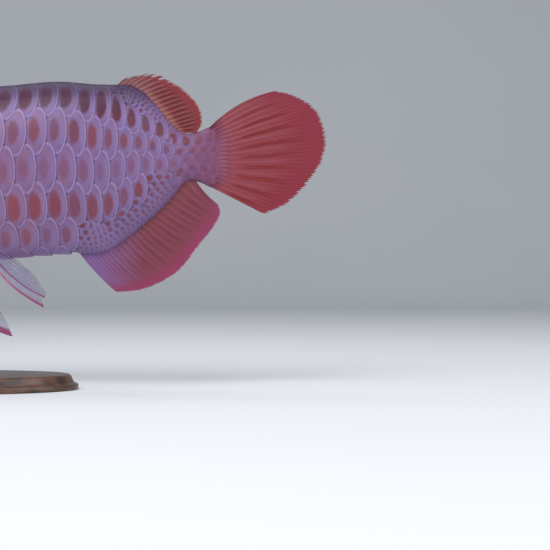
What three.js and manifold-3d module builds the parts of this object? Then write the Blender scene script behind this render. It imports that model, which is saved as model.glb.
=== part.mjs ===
// Life-size display model of a red Asian arowana, swimming level on a one-rod stand.
// Millimetres, +Z up. The head points along -X, the tail along +X, and the fish's left side is -Y.
// The origin is the middle of the stand's underside.
import * as THREE from "three";
import { mergeVertices } from "three/addons/utils/BufferGeometryUtils.js";
import Module from "manifold-3d";

const wasm = await Module();
wasm.setup();

// Driving sizes
const GAP = 0.3; // left between pieces that touch
const SNOUT_X = -175.7;
const HEAD_END_X = -92; // the plane where the head meets the trunk, under the gill covers
const SCALE_STEP = 1.5; // how far a scale's free edge stands above the next scale
const SCALE_ROWS = 12; // rows of scales all the way round the trunk
const RIM_SHOULDER = [0.82, 0.53]; // where a scale's hind rim turns forward, in columns and rows from its middle
const TRUNK_COLUMNS = [0, 24]; // in half scales, from the head's end
const STEM_COLUMNS = [24, 44];
const TAIL_SWING = 15; // how far the tail fin's edge is swept to the right side
const SWING_START_X = 20;
const SWING_LENGTH = 326;

// The body's outline and width at stations along X
const BACK = [
  [SNOUT_X, 230.3], [-173.9, 233.1], [-169.3, 235.8], [-161, 239.5], [-138, 250.5], [-110.4, 261.5],
  [-65.3, 272.6], [-9.2, 277.2], [46, 278.4], [101.2, 282.8], [140, 280.4], [156, 280.6], [165.6, 280],
  [174.8, 276.3], [184, 268.5], [193.2, 257.5], [202.4, 246], [211.6, 237.4], [220.8, 235.4],
  [227.2, 237.2], [242, 245],
];
const BELLY = [
  [SNOUT_X, 230.3], [-174.8, 226.6], [-171.1, 218.4], [-158.2, 200], [-142.6, 181.6], [-119.6, 160.4],
  [-92, 142.9], [-64.4, 132.8], [-27.6, 124.5], [9.2, 120.8], [46, 120.4], [82.8, 123.6], [115, 125.4],
  [130, 124.2], [138, 124.9], [147.2, 128.2], [165.6, 141.1], [184, 156.3], [197.8, 169.6],
  [207, 180.2], [214.4, 189.4], [220.8, 192.8], [227.2, 191.7], [242, 184.3],
];
const HALF_WIDTH = [
  [SNOUT_X, 0], [-174.8, 5], [-172.5, 8], [-167, 11.6], [-158, 15.6], [-140, 20.8], [-117, 26.5],
  [-92, 31.5], [-40, 36.5], [20, 37.5], [80, 34.5], [125, 29], [160, 21.5], [185, 15.5], [207, 11],
  [222, 8.6], [234, 6], [242, 3.6],
];
const WIDEST = [[SNOUT_X, 0.5], [-140, 0.54], [-92, 0.52], [0, 0.52], [120, 0.53], [242, 0.5]];
const BACK_ROUNDNESS = [[SNOUT_X, 2.4], [-140, 2.5], [-60, 2.3], [120, 2.2], [222, 2]];
const BELLY_ROUNDNESS = [[SNOUT_X, 2.2], [-120, 2.1], [-40, 1.8], [100, 1.75], [222, 2]];

// Depth, as a share of the body's, at which each row of scales lies, from the back to the belly
const ROW_DEPTHS_TRUNK = [0, 0.09, 0.27, 0.47, 0.71, 0.88, 1];
const ROW_DEPTHS_STEM = [0, 0.2, 0.38, 0.55, 0.74, 0.88, 1];
const COLUMN_X = [[0, HEAD_END_X], [24, 111.8], [26, 128.8], [40, 219], [44, 242]];

// Eye, mouth and nostrils, in side view
const EYE = { x: -139.8, z: 226.6, radius: 10.6, depth: 6.5, sunk: 2.6 };
const MOUTH = [
  [-181, 233.4], [-175.7, 230.8], [-167.4, 226.6], [-156.4, 219.3], [-142.6, 208.2], [-128.8, 195.4],
  [-123.3, 189.8], [-119.6, 178.8], [-118.7, 168.7], [-122.4, 150],
];
const MOUTH_CORNER = 6; // the corner's place in that list; the jaw's hind edge follows it
const LIP_RADIUS = 1.7;
const FRONT_NOSTRIL = { x: -165.6, z: 232.4 };
const REAR_NOSTRIL = { x: -154.6, z: 235.4, radius: 1.7 };

// Stand
const BASE = { halfLength: 118, halfWidth: 62, height: 14 };
const ROD = { radius: 4.5, collar: 11, saddle: 9.5, flare: 14 };

const clamp = (v, low, high) => Math.min(high, Math.max(low, v));
const mix = (a, b, t) => a + (b - a) * t;
const ease = (t) => {
  const c = clamp(t, 0, 1);
  return c * c * (3 - 2 * c);
};

// A smooth curve through [x, value] pairs that never overshoots them
function through(pairs) {
  const last = pairs.length - 1;
  const slope = pairs.slice(1).map(([x, v], i) => (v - pairs[i][1]) / (x - pairs[i][0]));
  const tangent = pairs.map((_, i) => {
    if (i === 0 || i === last) return slope[i === 0 ? 0 : last - 1];
    const [a, b] = [slope[i - 1], slope[i]];
    return a * b <= 0 ? 0 : (2 * a * b) / (a + b);
  });
  return (at) => {
    const x = clamp(at, pairs[0][0], pairs[last][0]);
    let i = 0;
    while (i < last - 1 && x > pairs[i + 1][0]) i++;
    const span = pairs[i + 1][0] - pairs[i][0];
    const t = (x - pairs[i][0]) / span;
    const rise = t * t * (3 - 2 * t);
    return (
      mix(pairs[i][1], pairs[i + 1][1], rise) +
      (t * t * t - 2 * t * t + t) * span * tangent[i] +
      (t * t * t - t * t) * span * tangent[i + 1]
    );
  };
}

const backZ = through(BACK);
const bellyZ = through(BELLY);
const halfWidth = through(HALF_WIDTH);
const widest = through(WIDEST);
const backRoundness = through(BACK_ROUNDNESS);
const bellyRoundness = through(BELLY_ROUNDNESS);
const columnX = through(COLUMN_X);

// The body's section at x: two half superellipses that meet at the widest height
function section(x) {
  const top = backZ(x);
  const bottom = bellyZ(x);
  return {
    top,
    bottom,
    half: halfWidth(x),
    mid: mix(bottom, top, widest(x)),
    upper: backRoundness(x),
    lower: bellyRoundness(x),
  };
}

// A point of that section, [y, z]. turn runs from 0 at the back down the +Y side to PI at the belly, and on
function onSection(s, turn) {
  const [c, q] = [Math.cos(turn), Math.sin(turn)];
  const power = 2 / (c > 0 ? s.upper : s.lower);
  const reach = c > 0 ? s.top - s.mid : s.mid - s.bottom;
  const y = Math.sign(q) * s.half * Math.abs(q) ** power;
  return [y, s.mid + Math.sign(c) * reach * Math.abs(c) ** power];
}

// A point of the skin, lifted square to the section
function skin(x, turn, lift = 0, sectionX = x) {
  const s = section(sectionX);
  const [y, z] = onSection(s, turn);
  const [ya, za] = onSection(s, turn - 0.02);
  const [yb, zb] = onSection(s, turn + 0.02);
  const length = Math.hypot(yb - ya, zb - za);
  if (length < 1e-6) return new THREE.Vector3(x, y + lift * Math.sin(turn), z + lift * Math.cos(turn));
  return new THREE.Vector3(x, y - (lift * (zb - za)) / length, z + (lift * (yb - ya)) / length);
}

// The skin's distance from the middle plane at a place in side view
function skinY(x, z) {
  const s = section(x);
  const [reach, n] = z > s.mid ? [s.top - s.mid, s.upper] : [s.mid - s.bottom, s.lower];
  const t = clamp(Math.abs(z - s.mid) / reach, 0, 1);
  return s.half * (1 - t ** n) ** (1 / n);
}

// The turn at a depth share of the section at x
function turnAtDepth(x, share) {
  const s = section(x);
  const z = mix(s.top, s.bottom, share);
  const above = clamp((z - s.mid) / (s.top - s.mid), 0, 1);
  const below = clamp((s.mid - z) / (s.mid - s.bottom), 0, 1);
  return z > s.mid ? Math.acos(above ** (s.upper / 2)) : Math.PI - Math.acos(below ** (s.lower / 2));
}

// A closed surface built vertex by vertex; vertices at one place are one, and faces that collapse are dropped
class Facets {
  points = [];
  faces = [];
  seen = new Map();
  vertex(v) {
    const key = [v.x, v.y, v.z].map((n) => Math.round(n * 500)).join();
    if (!this.seen.has(key)) {
      this.seen.set(key, this.points.length);
      this.points.push(v);
    }
    return this.seen.get(key);
  }
  face(a, b, c) {
    if (a !== b && b !== c && c !== a) this.faces.push(a, b, c);
  }
  quad(a, b, c, d) {
    this.face(a, b, c);
    this.face(a, c, d);
  }
  fan(centre, rim) {
    for (let i = 0; i + 1 < rim.length; i++) this.face(centre, rim[i], rim[i + 1]);
  }
  solid() {
    const places = new Float32Array(this.points.flatMap((p) => [p.x, p.y, p.z]));
    return manifoldOf(places, new Uint32Array(this.faces));
  }
}

function manifoldOf(vertProperties, triVerts) {
  const made = new wasm.Manifold(new wasm.Mesh({ numProp: 3, vertProperties, triVerts }));
  if (made.volume() <= 0) throw new Error("a piece is inside out");
  return made;
}

function solidOf(geometry) {
  const bare = geometry.index ? geometry.toNonIndexed() : geometry;
  const only = new THREE.BufferGeometry().setAttribute("position", bare.getAttribute("position"));
  const merged = mergeVertices(only, 1e-3);
  const facets = new Facets();
  const place = merged.getAttribute("position");
  const ids = [...Array(place.count).keys()].map((i) =>
    facets.vertex(new THREE.Vector3().fromBufferAttribute(place, i)),
  );
  for (let i = 0; i < merged.index.count; i += 3)
    facets.face(...[0, 1, 2].map((k) => ids[merged.index.getX(i + k)]));
  return facets.solid();
}

const largest = (solid) => solid.decompose().reduce((a, b) => (a.volume() > b.volume() ? a : b));

// Where scales lie flat: under the gill covers, and where the fins stand on the back and belly
function scaleShare(x, row) {
  const fromBack = Math.min(row, SCALE_ROWS - row);
  const turn = rowTurn(x, fromBack);
  let share = ease((x - coverEdge(turn) - 1) / 3);
  if (x > 148 && x < 226) share *= ease(fromBack / 1.3);
  if (x > 108 && x < 226) share *= ease((SCALE_ROWS / 2 - fromBack) / 1.3);
  return share * mix(1, 0.6, ease((x - 150) / 80));
}

// The turn at which a row of scales lies; rows between whole numbers lie between their neighbours
function rowTurn(x, row) {
  if (row < 0) return -rowTurn(x, -row);
  if (row > SCALE_ROWS / 2) return 2 * Math.PI - rowTurn(x, SCALE_ROWS - row);
  const low = Math.min(Math.floor(row), SCALE_ROWS / 2 - 1);
  const stem = ease((x - 100) / 90);
  const turns = [low, low + 1].map((r) =>
    turnAtDepth(x, mix(ROW_DEPTHS_TRUNK[r], ROW_DEPTHS_STEM[r], stem)),
  );
  return mix(turns[0], turns[1], row - low);
}

// Trunk or tail stem between two columns: overlapping scales raised in the skin itself.
// Each scale shows as a tile whose rounded hind rim stands above the two tiles behind it.
function scaledBody([first, last], grow = 0) {
  const facets = new Facets();
  const place = (column, row, share) => {
    const x = columnX(column);
    const shift = column === first ? -grow : column === last ? grow : 0;
    const lift = grow + share * SCALE_STEP * scaleShare(x, (row + SCALE_ROWS) % SCALE_ROWS);
    return facets.vertex(skin(x + shift, rowTurn(x, row), lift, x));
  };
  for (let a = first; a <= last; a++) {
    for (let row = (a + 1) % 2; row < SCALE_ROWS; row += 2) {
      const whole = a > first && a < last;
      const centre = place(whole ? a + 0.3 : a, row, 0.5);
      const above = place(a, row - 1, 0.45);
      const below = place(a, row + 1, 0.45);
      if (a < last) {
        const [back, aside] = RIM_SHOULDER;
        const places = [[a, row - 1], [a + back, row - aside], [a + 1, row], [a + back, row + aside],
          [a, row + 1]];
        const rim = places.map(([c, r], i) => place(c, r, [0.45, 0.75, 1, 0.75, 0.45][i]));
        const foot = places.map(([c, r], i) => place(c, r, [0, 0.2, 0.45, 0.2, 0][i]));
        facets.fan(centre, rim);
        for (let i = 0; i < 4; i++) facets.quad(rim[i], foot[i], foot[i + 1], rim[i + 1]);
      }
      if (a > first) {
        const [back, aside] = RIM_SHOULDER;
        const tuck = [[a - 1 + back, row + 1 - aside, 0.2], [a - 1, row, 0], [a - 1 + back, row - 1 + aside, 0.2]];
        facets.fan(centre, [below, ...tuck.map((t) => place(...t)), above]);
      }
    }
  }
  for (const end of [first, last]) {
    const rows = [...Array(SCALE_ROWS + 1).keys()];
    const ring = rows.map((r) => place(end, r % SCALE_ROWS, (end + r) % 2 ? 0.5 : 0.45));
    const x = columnX(end) + (end === first ? -grow : grow);
    const middle = facets.vertex(new THREE.Vector3(x, 0, section(columnX(end)).mid));
    facets.fan(middle, end === first ? ring : ring.reverse());
  }
  return facets.solid();
}

// Head and lower jaw in one: rings of skin from the snout's tip to the plane behind the cheeks
function headShell(grow = 0) {
  const facets = new Facets();
  const sides = 32;
  const stations = [-174.9, -173.2, -170.5, -166.8, -162.5];
  for (let x = -157.5; x < HEAD_END_X - 3; x += 6.2) stations.push(x);
  stations.push(HEAD_END_X - GAP);
  const rings = stations.map((x, i) =>
    [...Array(sides + 1).keys()].map((k) => {
      const shift = i === stations.length - 1 ? grow : 0;
      return facets.vertex(skin(x + shift, (2 * Math.PI * (k % sides)) / sides, grow, x));
    }),
  );
  const tip = facets.vertex(new THREE.Vector3(SNOUT_X - grow, 0, section(SNOUT_X).top));
  facets.fan(tip, rings[0]);
  for (let i = 0; i + 1 < rings.length; i++)
    for (let k = 0; k < sides; k++)
      facets.quad(rings[i][k], rings[i + 1][k], rings[i + 1][k + 1], rings[i][k + 1]);
  const end = stations[stations.length - 1];
  const middle = facets.vertex(new THREE.Vector3(end + grow, 0, section(end).mid));
  facets.fan(middle, rings[rings.length - 1].slice().reverse());
  return facets.solid();
}

// A round, tapering strand along a smooth path, closed at both ends
function strand(places, radius, sides = 8, steps = 12) {
  const path = new THREE.CatmullRomCurve3(places.map((p) => new THREE.Vector3(...p)));
  const frames = path.computeFrenetFrames(steps);
  const facets = new Facets();
  const rings = [...Array(steps + 1).keys()].map((i) => {
    const middle = path.getPointAt(i / steps);
    return [...Array(sides + 1).keys()].map((k) => {
      const turn = (2 * Math.PI * (k % sides)) / sides;
      const out = frames.normals[i].clone().multiplyScalar(Math.cos(turn));
      out.addScaledVector(frames.binormals[i], Math.sin(turn));
      return facets.vertex(middle.clone().addScaledVector(out, radius(i / steps)));
    });
  });
  for (let i = 0; i < steps; i++)
    for (let k = 0; k < sides; k++)
      facets.quad(rings[i][k], rings[i][k + 1], rings[i + 1][k + 1], rings[i + 1][k]);
  facets.fan(facets.vertex(path.getPointAt(0)), rings[0].slice().reverse());
  facets.fan(facets.vertex(path.getPointAt(1)), rings[steps]);
  return facets.solid();
}

// A bony plate lying on the skin, between two edges given along X for each turn.
// inner and outer are its lifts; the rim is thinner than the middle.
function plate({ turns, front, rear, inner, outer, across = 4, along = 6, mirror }) {
  const facets = new Facets();
  const lay = (i, k, face) => {
    const turn = mix(turns[0], turns[1], k / along);
    const x = mix(front(turn), rear(turn), i / across);
    const bulge = Math.sin((Math.PI * i) / across) * Math.sin((Math.PI * k) / along);
    const lift = face ? mix(outer[0], outer[1], bulge ** 0.4) : inner;
    return facets.vertex(skin(x, mirror ? 2 * Math.PI - turn : turn, lift));
  };
  const put = (a, b, c, d) => (mirror ? facets.quad(d, c, b, a) : facets.quad(a, b, c, d));
  for (let i = 0; i < across; i++)
    for (let k = 0; k < along; k++) {
      put(lay(i, k, 1), lay(i + 1, k, 1), lay(i + 1, k + 1, 1), lay(i, k + 1, 1));
      put(lay(i, k + 1, 0), lay(i + 1, k + 1, 0), lay(i + 1, k, 0), lay(i, k, 0));
    }
  for (let i = 0; i < across; i++) {
    put(lay(i + 1, 0, 1), lay(i, 0, 1), lay(i, 0, 0), lay(i + 1, 0, 0));
    put(lay(i, along, 1), lay(i + 1, along, 1), lay(i + 1, along, 0), lay(i, along, 0));
  }
  for (let k = 0; k < along; k++) {
    put(lay(0, k, 1), lay(0, k + 1, 1), lay(0, k + 1, 0), lay(0, k, 0));
    put(lay(across, k + 1, 1), lay(across, k, 1), lay(across, k, 0), lay(across, k + 1, 0));
  }
  return facets.solid();
}

// Gill cover: its rounded hind edge, and the front edge along the cheek
const COVER_TURNS = [0.24 * Math.PI, 0.87 * Math.PI];
const COVER_MIDDLE = 0.53 * Math.PI;
const COVER_REACH_X = -64;
const COVER_FRONT_X = -101;
function coverEdge(turn) {
  const [top, bottom] = COVER_TURNS;
  if (turn < top || turn > bottom) return HEAD_END_X + 1;
  const t = (turn - COVER_MIDDLE) / (turn < COVER_MIDDLE ? COVER_MIDDLE - top : bottom - COVER_MIDDLE);
  return mix(turn < COVER_MIDDLE ? -94 : -104, COVER_REACH_X, Math.sqrt(1 - 0.96 * t * t));
}
const coverFront = (turn) => COVER_FRONT_X - 26 * ease((turn - 0.62 * Math.PI) / (0.3 * Math.PI));

function gillCover(mirror) {
  return plate({
    turns: COVER_TURNS,
    front: coverFront,
    rear: coverEdge,
    inner: 0.9,
    outer: [1.8, 3.4],
    across: 6,
    along: 14,
    mirror,
  });
}

// Cheek plates behind the eye, and the curved plate in front of the gill cover
function cheekPlates() {
  const plates = [];
  for (const mirror of [false, true]) {
    const base = { inner: -1, outer: [0.35, 1.1], across: 2, along: 4, mirror };
    const hind = (turn) => coverFront(turn) - 11;
    plates.push(
      plate({ ...base, turns: [0.3, 0.445].map((t) => t * Math.PI), front: () => -128.5, rear: hind }),
      plate({ ...base, turns: [0.465, 0.6].map((t) => t * Math.PI), front: () => -127, rear: hind }),
      plate({
        ...base,
        turns: [0.3, 0.84].map((t) => t * Math.PI),
        front: (turn) => coverFront(turn) - 9.5,
        rear: (turn) => coverFront(turn) - 1.5,
        along: 8,
      }),
    );
  }
  return plates;
}

// Upper and lower lips: one strand each, from a mouth corner round the snout to the other corner
function lips(grow = 0) {
  const line = MOUTH.slice(1, MOUTH_CORNER + 1);
  return [1, -1].map((above) => {
    const half = line.map(([x, z], i) => {
      const height = z + above * (LIP_RADIUS + 0.4) * (i === 0 ? 0.8 : 1);
      return [x + (i === 0 ? 1 : 0), i === 0 ? 0 : skinY(x, height) - 0.5, height];
    });
    const mirrored = half.slice(1).map(([x, y, z]) => [x, -y, z]).reverse();
    const thick = (t) => grow + LIP_RADIUS * mix(0.9, 1, Math.abs(2 * t - 1));
    return strand([...mirrored, ...half], thick, 6, 22);
  });
}

// A thin curved cut that parts the lower jaw from the head, right through from side to side
function mouthCut() {
  const curve = new THREE.SplineCurve(MOUTH.map(([x, z]) => new THREE.Vector2(x, z)));
  const steps = 22;
  const edge = (side) =>
    [...Array(steps + 1).keys()].map((i) => {
      const along = curve.getTangent(i / steps);
      const middle = curve.getPoint(i / steps);
      return new THREE.Vector2(middle.x - side * along.y, middle.y + side * along.x);
    });
  const half = 0.3;
  const shape = new THREE.Shape([...edge(half), ...edge(-half).reverse()]);
  const depth = 90;
  const cut = new THREE.ExtrudeGeometry(shape, { depth, bevelEnabled: false });
  return solidOf(cut.rotateX(Math.PI / 2).translate(0, depth / 2, 0));
}

// The outward direction of the skin at a place in side view, for a side of +1 or -1
function outward(x, z, side) {
  const slope = (dx, dz) => (skinY(x + dx, z + dz) - skinY(x - dx, z - dz)) / 2;
  return new THREE.Vector3(-slope(1, 0), side, -slope(0, 1)).normalize();
}

function onSkin({ x, z }, side, lift = 0) {
  const place = new THREE.Vector3(x, side * skinY(x, z), z);
  return place.addScaledVector(outward(x, z, side), lift);
}

// Turns a geometry's +Z to face out of the skin and moves it there
function setOnSkin(geometry, spot, side, lift = 0) {
  const turn = new THREE.Quaternion();
  turn.setFromUnitVectors(new THREE.Vector3(0, 0, 1), outward(spot.x, spot.z, side));
  return geometry.applyQuaternion(turn).translate(...onSkin(spot, side, lift).toArray());
}

function eyeball(side, grow = 0) {
  const round = EYE.radius + grow;
  const ball = new THREE.SphereGeometry(1, 14, 10).rotateX(Math.PI / 2);
  return solidOf(setOnSkin(ball.scale(round, round, EYE.depth + grow), EYE, side, -EYE.sunk));
}

// Head with lips, eye rims, nostrils and cheek plates, parted from the lower jaw
function headAndJaw() {
  let head = headShell();
  for (const piece of [...lips(), ...cheekPlates()]) head = head.add(piece);
  for (const side of [1, -1]) {
    const rim = new THREE.TorusGeometry(EYE.radius - 0.1, 1.2, 5, 16);
    head = head.add(solidOf(setOnSkin(rim, EYE, side, -0.3)));
    const ring = new THREE.TorusGeometry(REAR_NOSTRIL.radius, 0.7, 5, 8);
    head = head.add(solidOf(setOnSkin(ring, REAR_NOSTRIL, side, 0)));
    const tube = new THREE.CylinderGeometry(1, 1.5, 5, 8).rotateX(Math.PI / 2);
    head = head.add(solidOf(setOnSkin(tube, FRONT_NOSTRIL, side, 0.8)));
    head = head.subtract(eyeball(side, GAP));
    const pit = new THREE.CylinderGeometry(1.1, 0.8, 3, 8).rotateX(Math.PI / 2);
    head = head.subtract(solidOf(setOnSkin(pit, REAR_NOSTRIL, side, 0.4)));
    const bore = new THREE.CylinderGeometry(0.6, 0.5, 4, 6).rotateX(Math.PI / 2);
    head = head.subtract(solidOf(setOnSkin(bore, FRONT_NOSTRIL, side, 2)));
  }
  const parts = head.subtract(mouthCut()).decompose();
  const [skull, jaw] = parts.sort((a, b) => b.volume() - a.volume());
  return { skull, jaw };
}

// A fin: rays as ridges on a thin web, raised in its own surface and alike on both faces.
// at(s, t) places s from the leading ray to the last and t from root to tip; sunk is how far the root
// reaches into the body before it is cut there.
function fin({ at, rays, steps, ray, web, sunk, tooth }) {
  const facets = new Facets();
  const columns = 2 * rays - 2;
  const rows = [...Array(steps + 1).keys()];
  const sheet = [...Array(columns + 1).keys()].map((i) => {
    const s = i / columns;
    const isRay = i % 2 === 0;
    const length = at(s, 1).distanceTo(at(s, 0));
    const start = -sunk / length;
    const end = 1 + ((isRay ? 1 : -1) * tooth) / length;
    return rows.map((k) => {
      const t = mix(start, end, k / steps);
      const middle = at(s, t);
      const across = at(Math.min(1, s + 0.01), t).sub(at(Math.max(0, s - 0.01), t));
      const along = at(s, t + 0.01).sub(at(s, t - 0.01));
      const out = across.cross(along).normalize();
      const half = isRay ? mix(ray[0], ray[1], clamp(t, 0, 1)) : mix(web[0], web[1], clamp(t, 0, 1));
      return [1, -1].map((side) => facets.vertex(middle.clone().addScaledVector(out, side * half)));
    });
  });
  for (let i = 0; i < columns; i++)
    for (let k = 0; k < steps; k++) {
      const corners = [sheet[i][k], sheet[i + 1][k], sheet[i + 1][k + 1], sheet[i][k + 1]];
      const [a, b, c, d] = corners.map((p) => p[0]);
      const [e, f, g, h] = corners.map((p) => p[1]);
      facets.quad(a, b, c, d);
      facets.face(e, g, f);
      facets.face(e, h, g);
    }
  const hem = (p, q) => facets.quad(q[0], p[0], p[1], q[1]);
  for (let i = 0; i < columns; i++) {
    hem(sheet[i][0], sheet[i + 1][0]);
    hem(sheet[i + 1][steps], sheet[i][steps]);
  }
  for (let k = 0; k < steps; k++) {
    hem(sheet[0][k + 1], sheet[0][k]);
    hem(sheet[columns][k], sheet[columns][k + 1]);
  }
  return facets.solid();
}

// The surface of a fin between a root line and a tip line, each a list of [s, x, y, z].
// bow(s) arches a ray within the fin, and belly(s, t) bulges the sheet along Y.
function sail(root, tip, bow = () => 0, belly = () => 0) {
  const lines = [root, tip].map((line) => [1, 2, 3].map((n) => through(line.map((p) => [p[0], p[n]]))));
  const [from, to] = lines.map((line) => (s) => new THREE.Vector3(...line.map((f) => f(s))));
  return (s, t) => {
    const ray = to(s).sub(from(s));
    const square = new THREE.Vector3(-ray.z, 0, ray.x).normalize();
    const place = from(s).addScaledVector(ray, t);
    place.addScaledVector(square, 4 * t * (1 - t) * bow(s));
    place.y += belly(s, t);
    return place;
  };
}

const flat = (line) => line.map(([s, x, z]) => [s, x, 0, z]);

const DORSAL_ROOT = [[0, 154.6, 280.5], [0.2, 166.5, 280], [0.4, 179.4, 272.6], [0.6, 191.4, 259.8],
  [0.8, 202.4, 246], [1, 213.4, 236.5]];
const DORSAL_TIP = [[0, 167.4, 286.9], [0.2, 184, 288.5], [0.4, 204.2, 279.5], [0.6, 219, 266.7],
  [0.8, 229.1, 252.4], [0.9, 230.5, 245], [1, 226.3, 238]];
const ANAL_ROOT = [[0, 119.6, 125], [0.15, 133.4, 124.5], [0.3, 147.2, 128.2], [0.5, 167.4, 142.5],
  [0.7, 186.8, 158.8], [0.85, 200.6, 172.6], [1, 214.5, 189.5]];
const ANAL_TIP = [[0, 152.7, 89.6], [0.15, 168.4, 90.5], [0.3, 184, 94.6], [0.5, 207.9, 108],
  [0.7, 230, 134.6], [0.85, 242.9, 152.1], [0.95, 247.5, 163.2], [1, 245.6, 170.5]];
const CAUDAL_ROOT = [[0, 241, 243.6], [0.25, 241.5, 229.4], [0.5, 242, 214.6], [0.75, 241.5, 200],
  [1, 241, 185.9]];
const CAUDAL_TIP = [[0, 299, 275.4], [0.1, 313.7, 271.7], [0.2, 326.6, 264.8], [0.3, 336.7, 255.2],
  [0.4, 343.2, 242.3], [0.5, 345.9, 227.6], [0.6, 342.2, 212.8], [0.7, 334, 198.1], [0.8, 322, 183.4],
  [0.9, 307.3, 170.5], [1, 288, 162.2]];

// The paired fins; side is +1 or -1. The right pelvic fin is held a little closer to the belly.
function pelvicSail(side) {
  const tuck = side > 0 ? 4 : 0;
  const root = [[0, 35, 12 * side, 125], [1, 52, 10 * side, 124]];
  const tip = [[0, 90.2 - 2 * tuck, 25 * side, 75.8 + 2 * tuck], [0.25, 88.3 - tuck, 26 * side, 84 + tuck],
    [0.5, 85 - tuck, 25 * side, 92.5], [0.75, 80.5 - tuck, 22 * side, 101],
    [1, 74 - tuck, 17 * side, 109]];
  return sail(root, tip, (s) => -5 * (1 - s), (s, t) => side * 4 * Math.sin(Math.PI * clamp(t, 0, 1)) ** 2);
}
function pectoralSail(side) {
  const root = [[0, -70, 19.5 * side, 144], [1, -62, 24.5 * side, 152]];
  const tip = [[0, 47.8, 50 * side, 46.3], [0.15, 43, 51.5 * side, 58], [0.35, 31, 52 * side, 77],
    [0.6, 10, 50 * side, 101], [0.8, -6, 46.5 * side, 119], [1, -22, 43 * side, 135]];
  const bow = (s) => -15 * (1 - s) ** 1.5;
  return sail(root, tip, bow, (s, t) => side * 9 * Math.sin(Math.PI * clamp(t, 0, 1)) ** 2 * (1 - 0.6 * s));
}

const FINS = {
  dorsal_fin: { at: sail(flat(DORSAL_ROOT), flat(DORSAL_TIP), () => 1.5), rays: 19, steps: 4,
    ray: [1.2, 0.45], web: [0.45, 0.3], sunk: 6, tooth: 0.5 },
  anal_fin: { at: sail(flat(ANAL_ROOT), flat(ANAL_TIP), () => -1.5), rays: 26, steps: 5,
    ray: [1.4, 0.45], web: [0.45, 0.3], sunk: 6, tooth: 0.5 },
  caudal_fin: { at: sail(flat(CAUDAL_ROOT), flat(CAUDAL_TIP), (s) => 5 * (1 - s) ** 3), rays: 19,
    steps: 6, ray: [2.2, 0.5], web: [1.2, 0.3], sunk: 3, tooth: 0.8 },
  pelvic_fin_left: { at: pelvicSail(-1), rays: 6, steps: 5, ray: [1, 0.45], web: [0.5, 0.3],
    sunk: 5, tooth: 0.5 },
  pelvic_fin_right: { at: pelvicSail(1), rays: 6, steps: 5, ray: [1, 0.45], web: [0.5, 0.3],
    sunk: 5, tooth: 0.5 },
  pectoral_fin_left: { at: pectoralSail(-1), rays: 8, steps: 8, ray: [1.1, 0.45], web: [0.5, 0.3],
    sunk: 5, tooth: 0.6 },
  pectoral_fin_right: { at: pectoralSail(1), rays: 8, steps: 8, ray: [1.1, 0.45], web: [0.5, 0.3],
    sunk: 5, tooth: 0.6 },
};

function barbel(side, fleshy) {
  const path = [[-169, 4 * side, 222.5], [-176, 5.5 * side, 224], [-186, 8.5 * side, 228.5],
    [-195, 12 * side, 235.5], [-202, 15 * side, 244]];
  let made = strand(path, (t) => mix(1.7, 0.45, t), 6, 8);
  for (const flesh of fleshy) made = made.subtract(flesh);
  return largest(made);
}

function standBase() {
  const { halfLength, halfWidth: halfBreadth, height } = BASE;
  const profile = [[0, 0], [0.985, 0], [1, 1.5], [1, 5], [0.965, 6.5], [0.94, height - 1],
    [0.925, height], [0, height]];
  const turned = new THREE.LatheGeometry(profile.map(([r, z]) => new THREE.Vector2(r, z)), 36);
  return solidOf(turned.rotateX(Math.PI / 2).scale(halfLength, halfBreadth, 1));
}

function standRod(body) {
  const foot = BASE.height + GAP;
  const belly = bellyZ(0);
  const profile = [[0, foot], [ROD.collar, foot], [ROD.collar, foot + 3.5], [ROD.collar - 2, foot + 5],
    [ROD.radius + 1, foot + 6], [ROD.radius, foot + 9], [ROD.radius, belly - ROD.flare],
    [ROD.radius + 1.2, belly - 0.5 * ROD.flare], [ROD.saddle, belly - 1], [ROD.saddle, belly + 5],
    [0, belly + 5]];
  const turned = new THREE.LatheGeometry(profile.map(([r, z]) => new THREE.Vector2(r, z)), 18);
  return largest(solidOf(turned.rotateX(Math.PI / 2)).subtract(body));
}

// The gentle sweep of the tail, which carries the stem and the hind fins with it
const swing = (x) => TAIL_SWING * Math.max(0, (x - SWING_START_X) / SWING_LENGTH) ** 2;

function mesh(name, solid, material) {
  const { vertProperties, triVerts, numProp, numVert } = solid.getMesh();
  const places = new Float32Array(numVert * 3);
  for (let i = 0; i < numVert; i++) {
    const [x, y, z] = vertProperties.subarray(i * numProp, i * numProp + 3);
    places.set([x, y + swing(x), z], i * 3);
  }
  const geometry = new THREE.BufferGeometry().setAttribute("position", new THREE.BufferAttribute(places, 3));
  const made = new THREE.Mesh(geometry.setIndex(new THREE.BufferAttribute(triVerts, 1)), material);
  made.name = name;
  return made;
}

const finish = (color, roughness, metalness = 0) =>
  new THREE.MeshStandardMaterial({ color, roughness, metalness });
const HIDE = finish(0x6a5480, 0.35, 0.3);
const BONE = finish(0x7a5a78, 0.3, 0.35);
const FIN = finish(0x7c2a38, 0.5);
const EYE_GLASS = finish(0x2a2024, 0.08);
const WOOD = finish(0x2e2622, 0.4);
const STEEL = finish(0xb0b0b4, 0.3, 1);

const { skull, jaw } = headAndJaw();
const grown = scaledBody([TRUNK_COLUMNS[0], STEM_COLUMNS[1]], GAP);
const grownBody = grown.add(grown.translate(GAP, 0, 0)); // clears the scales' hind edges too
const grownHead = [headShell(GAP + 0.05), ...lips(GAP)];

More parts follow.
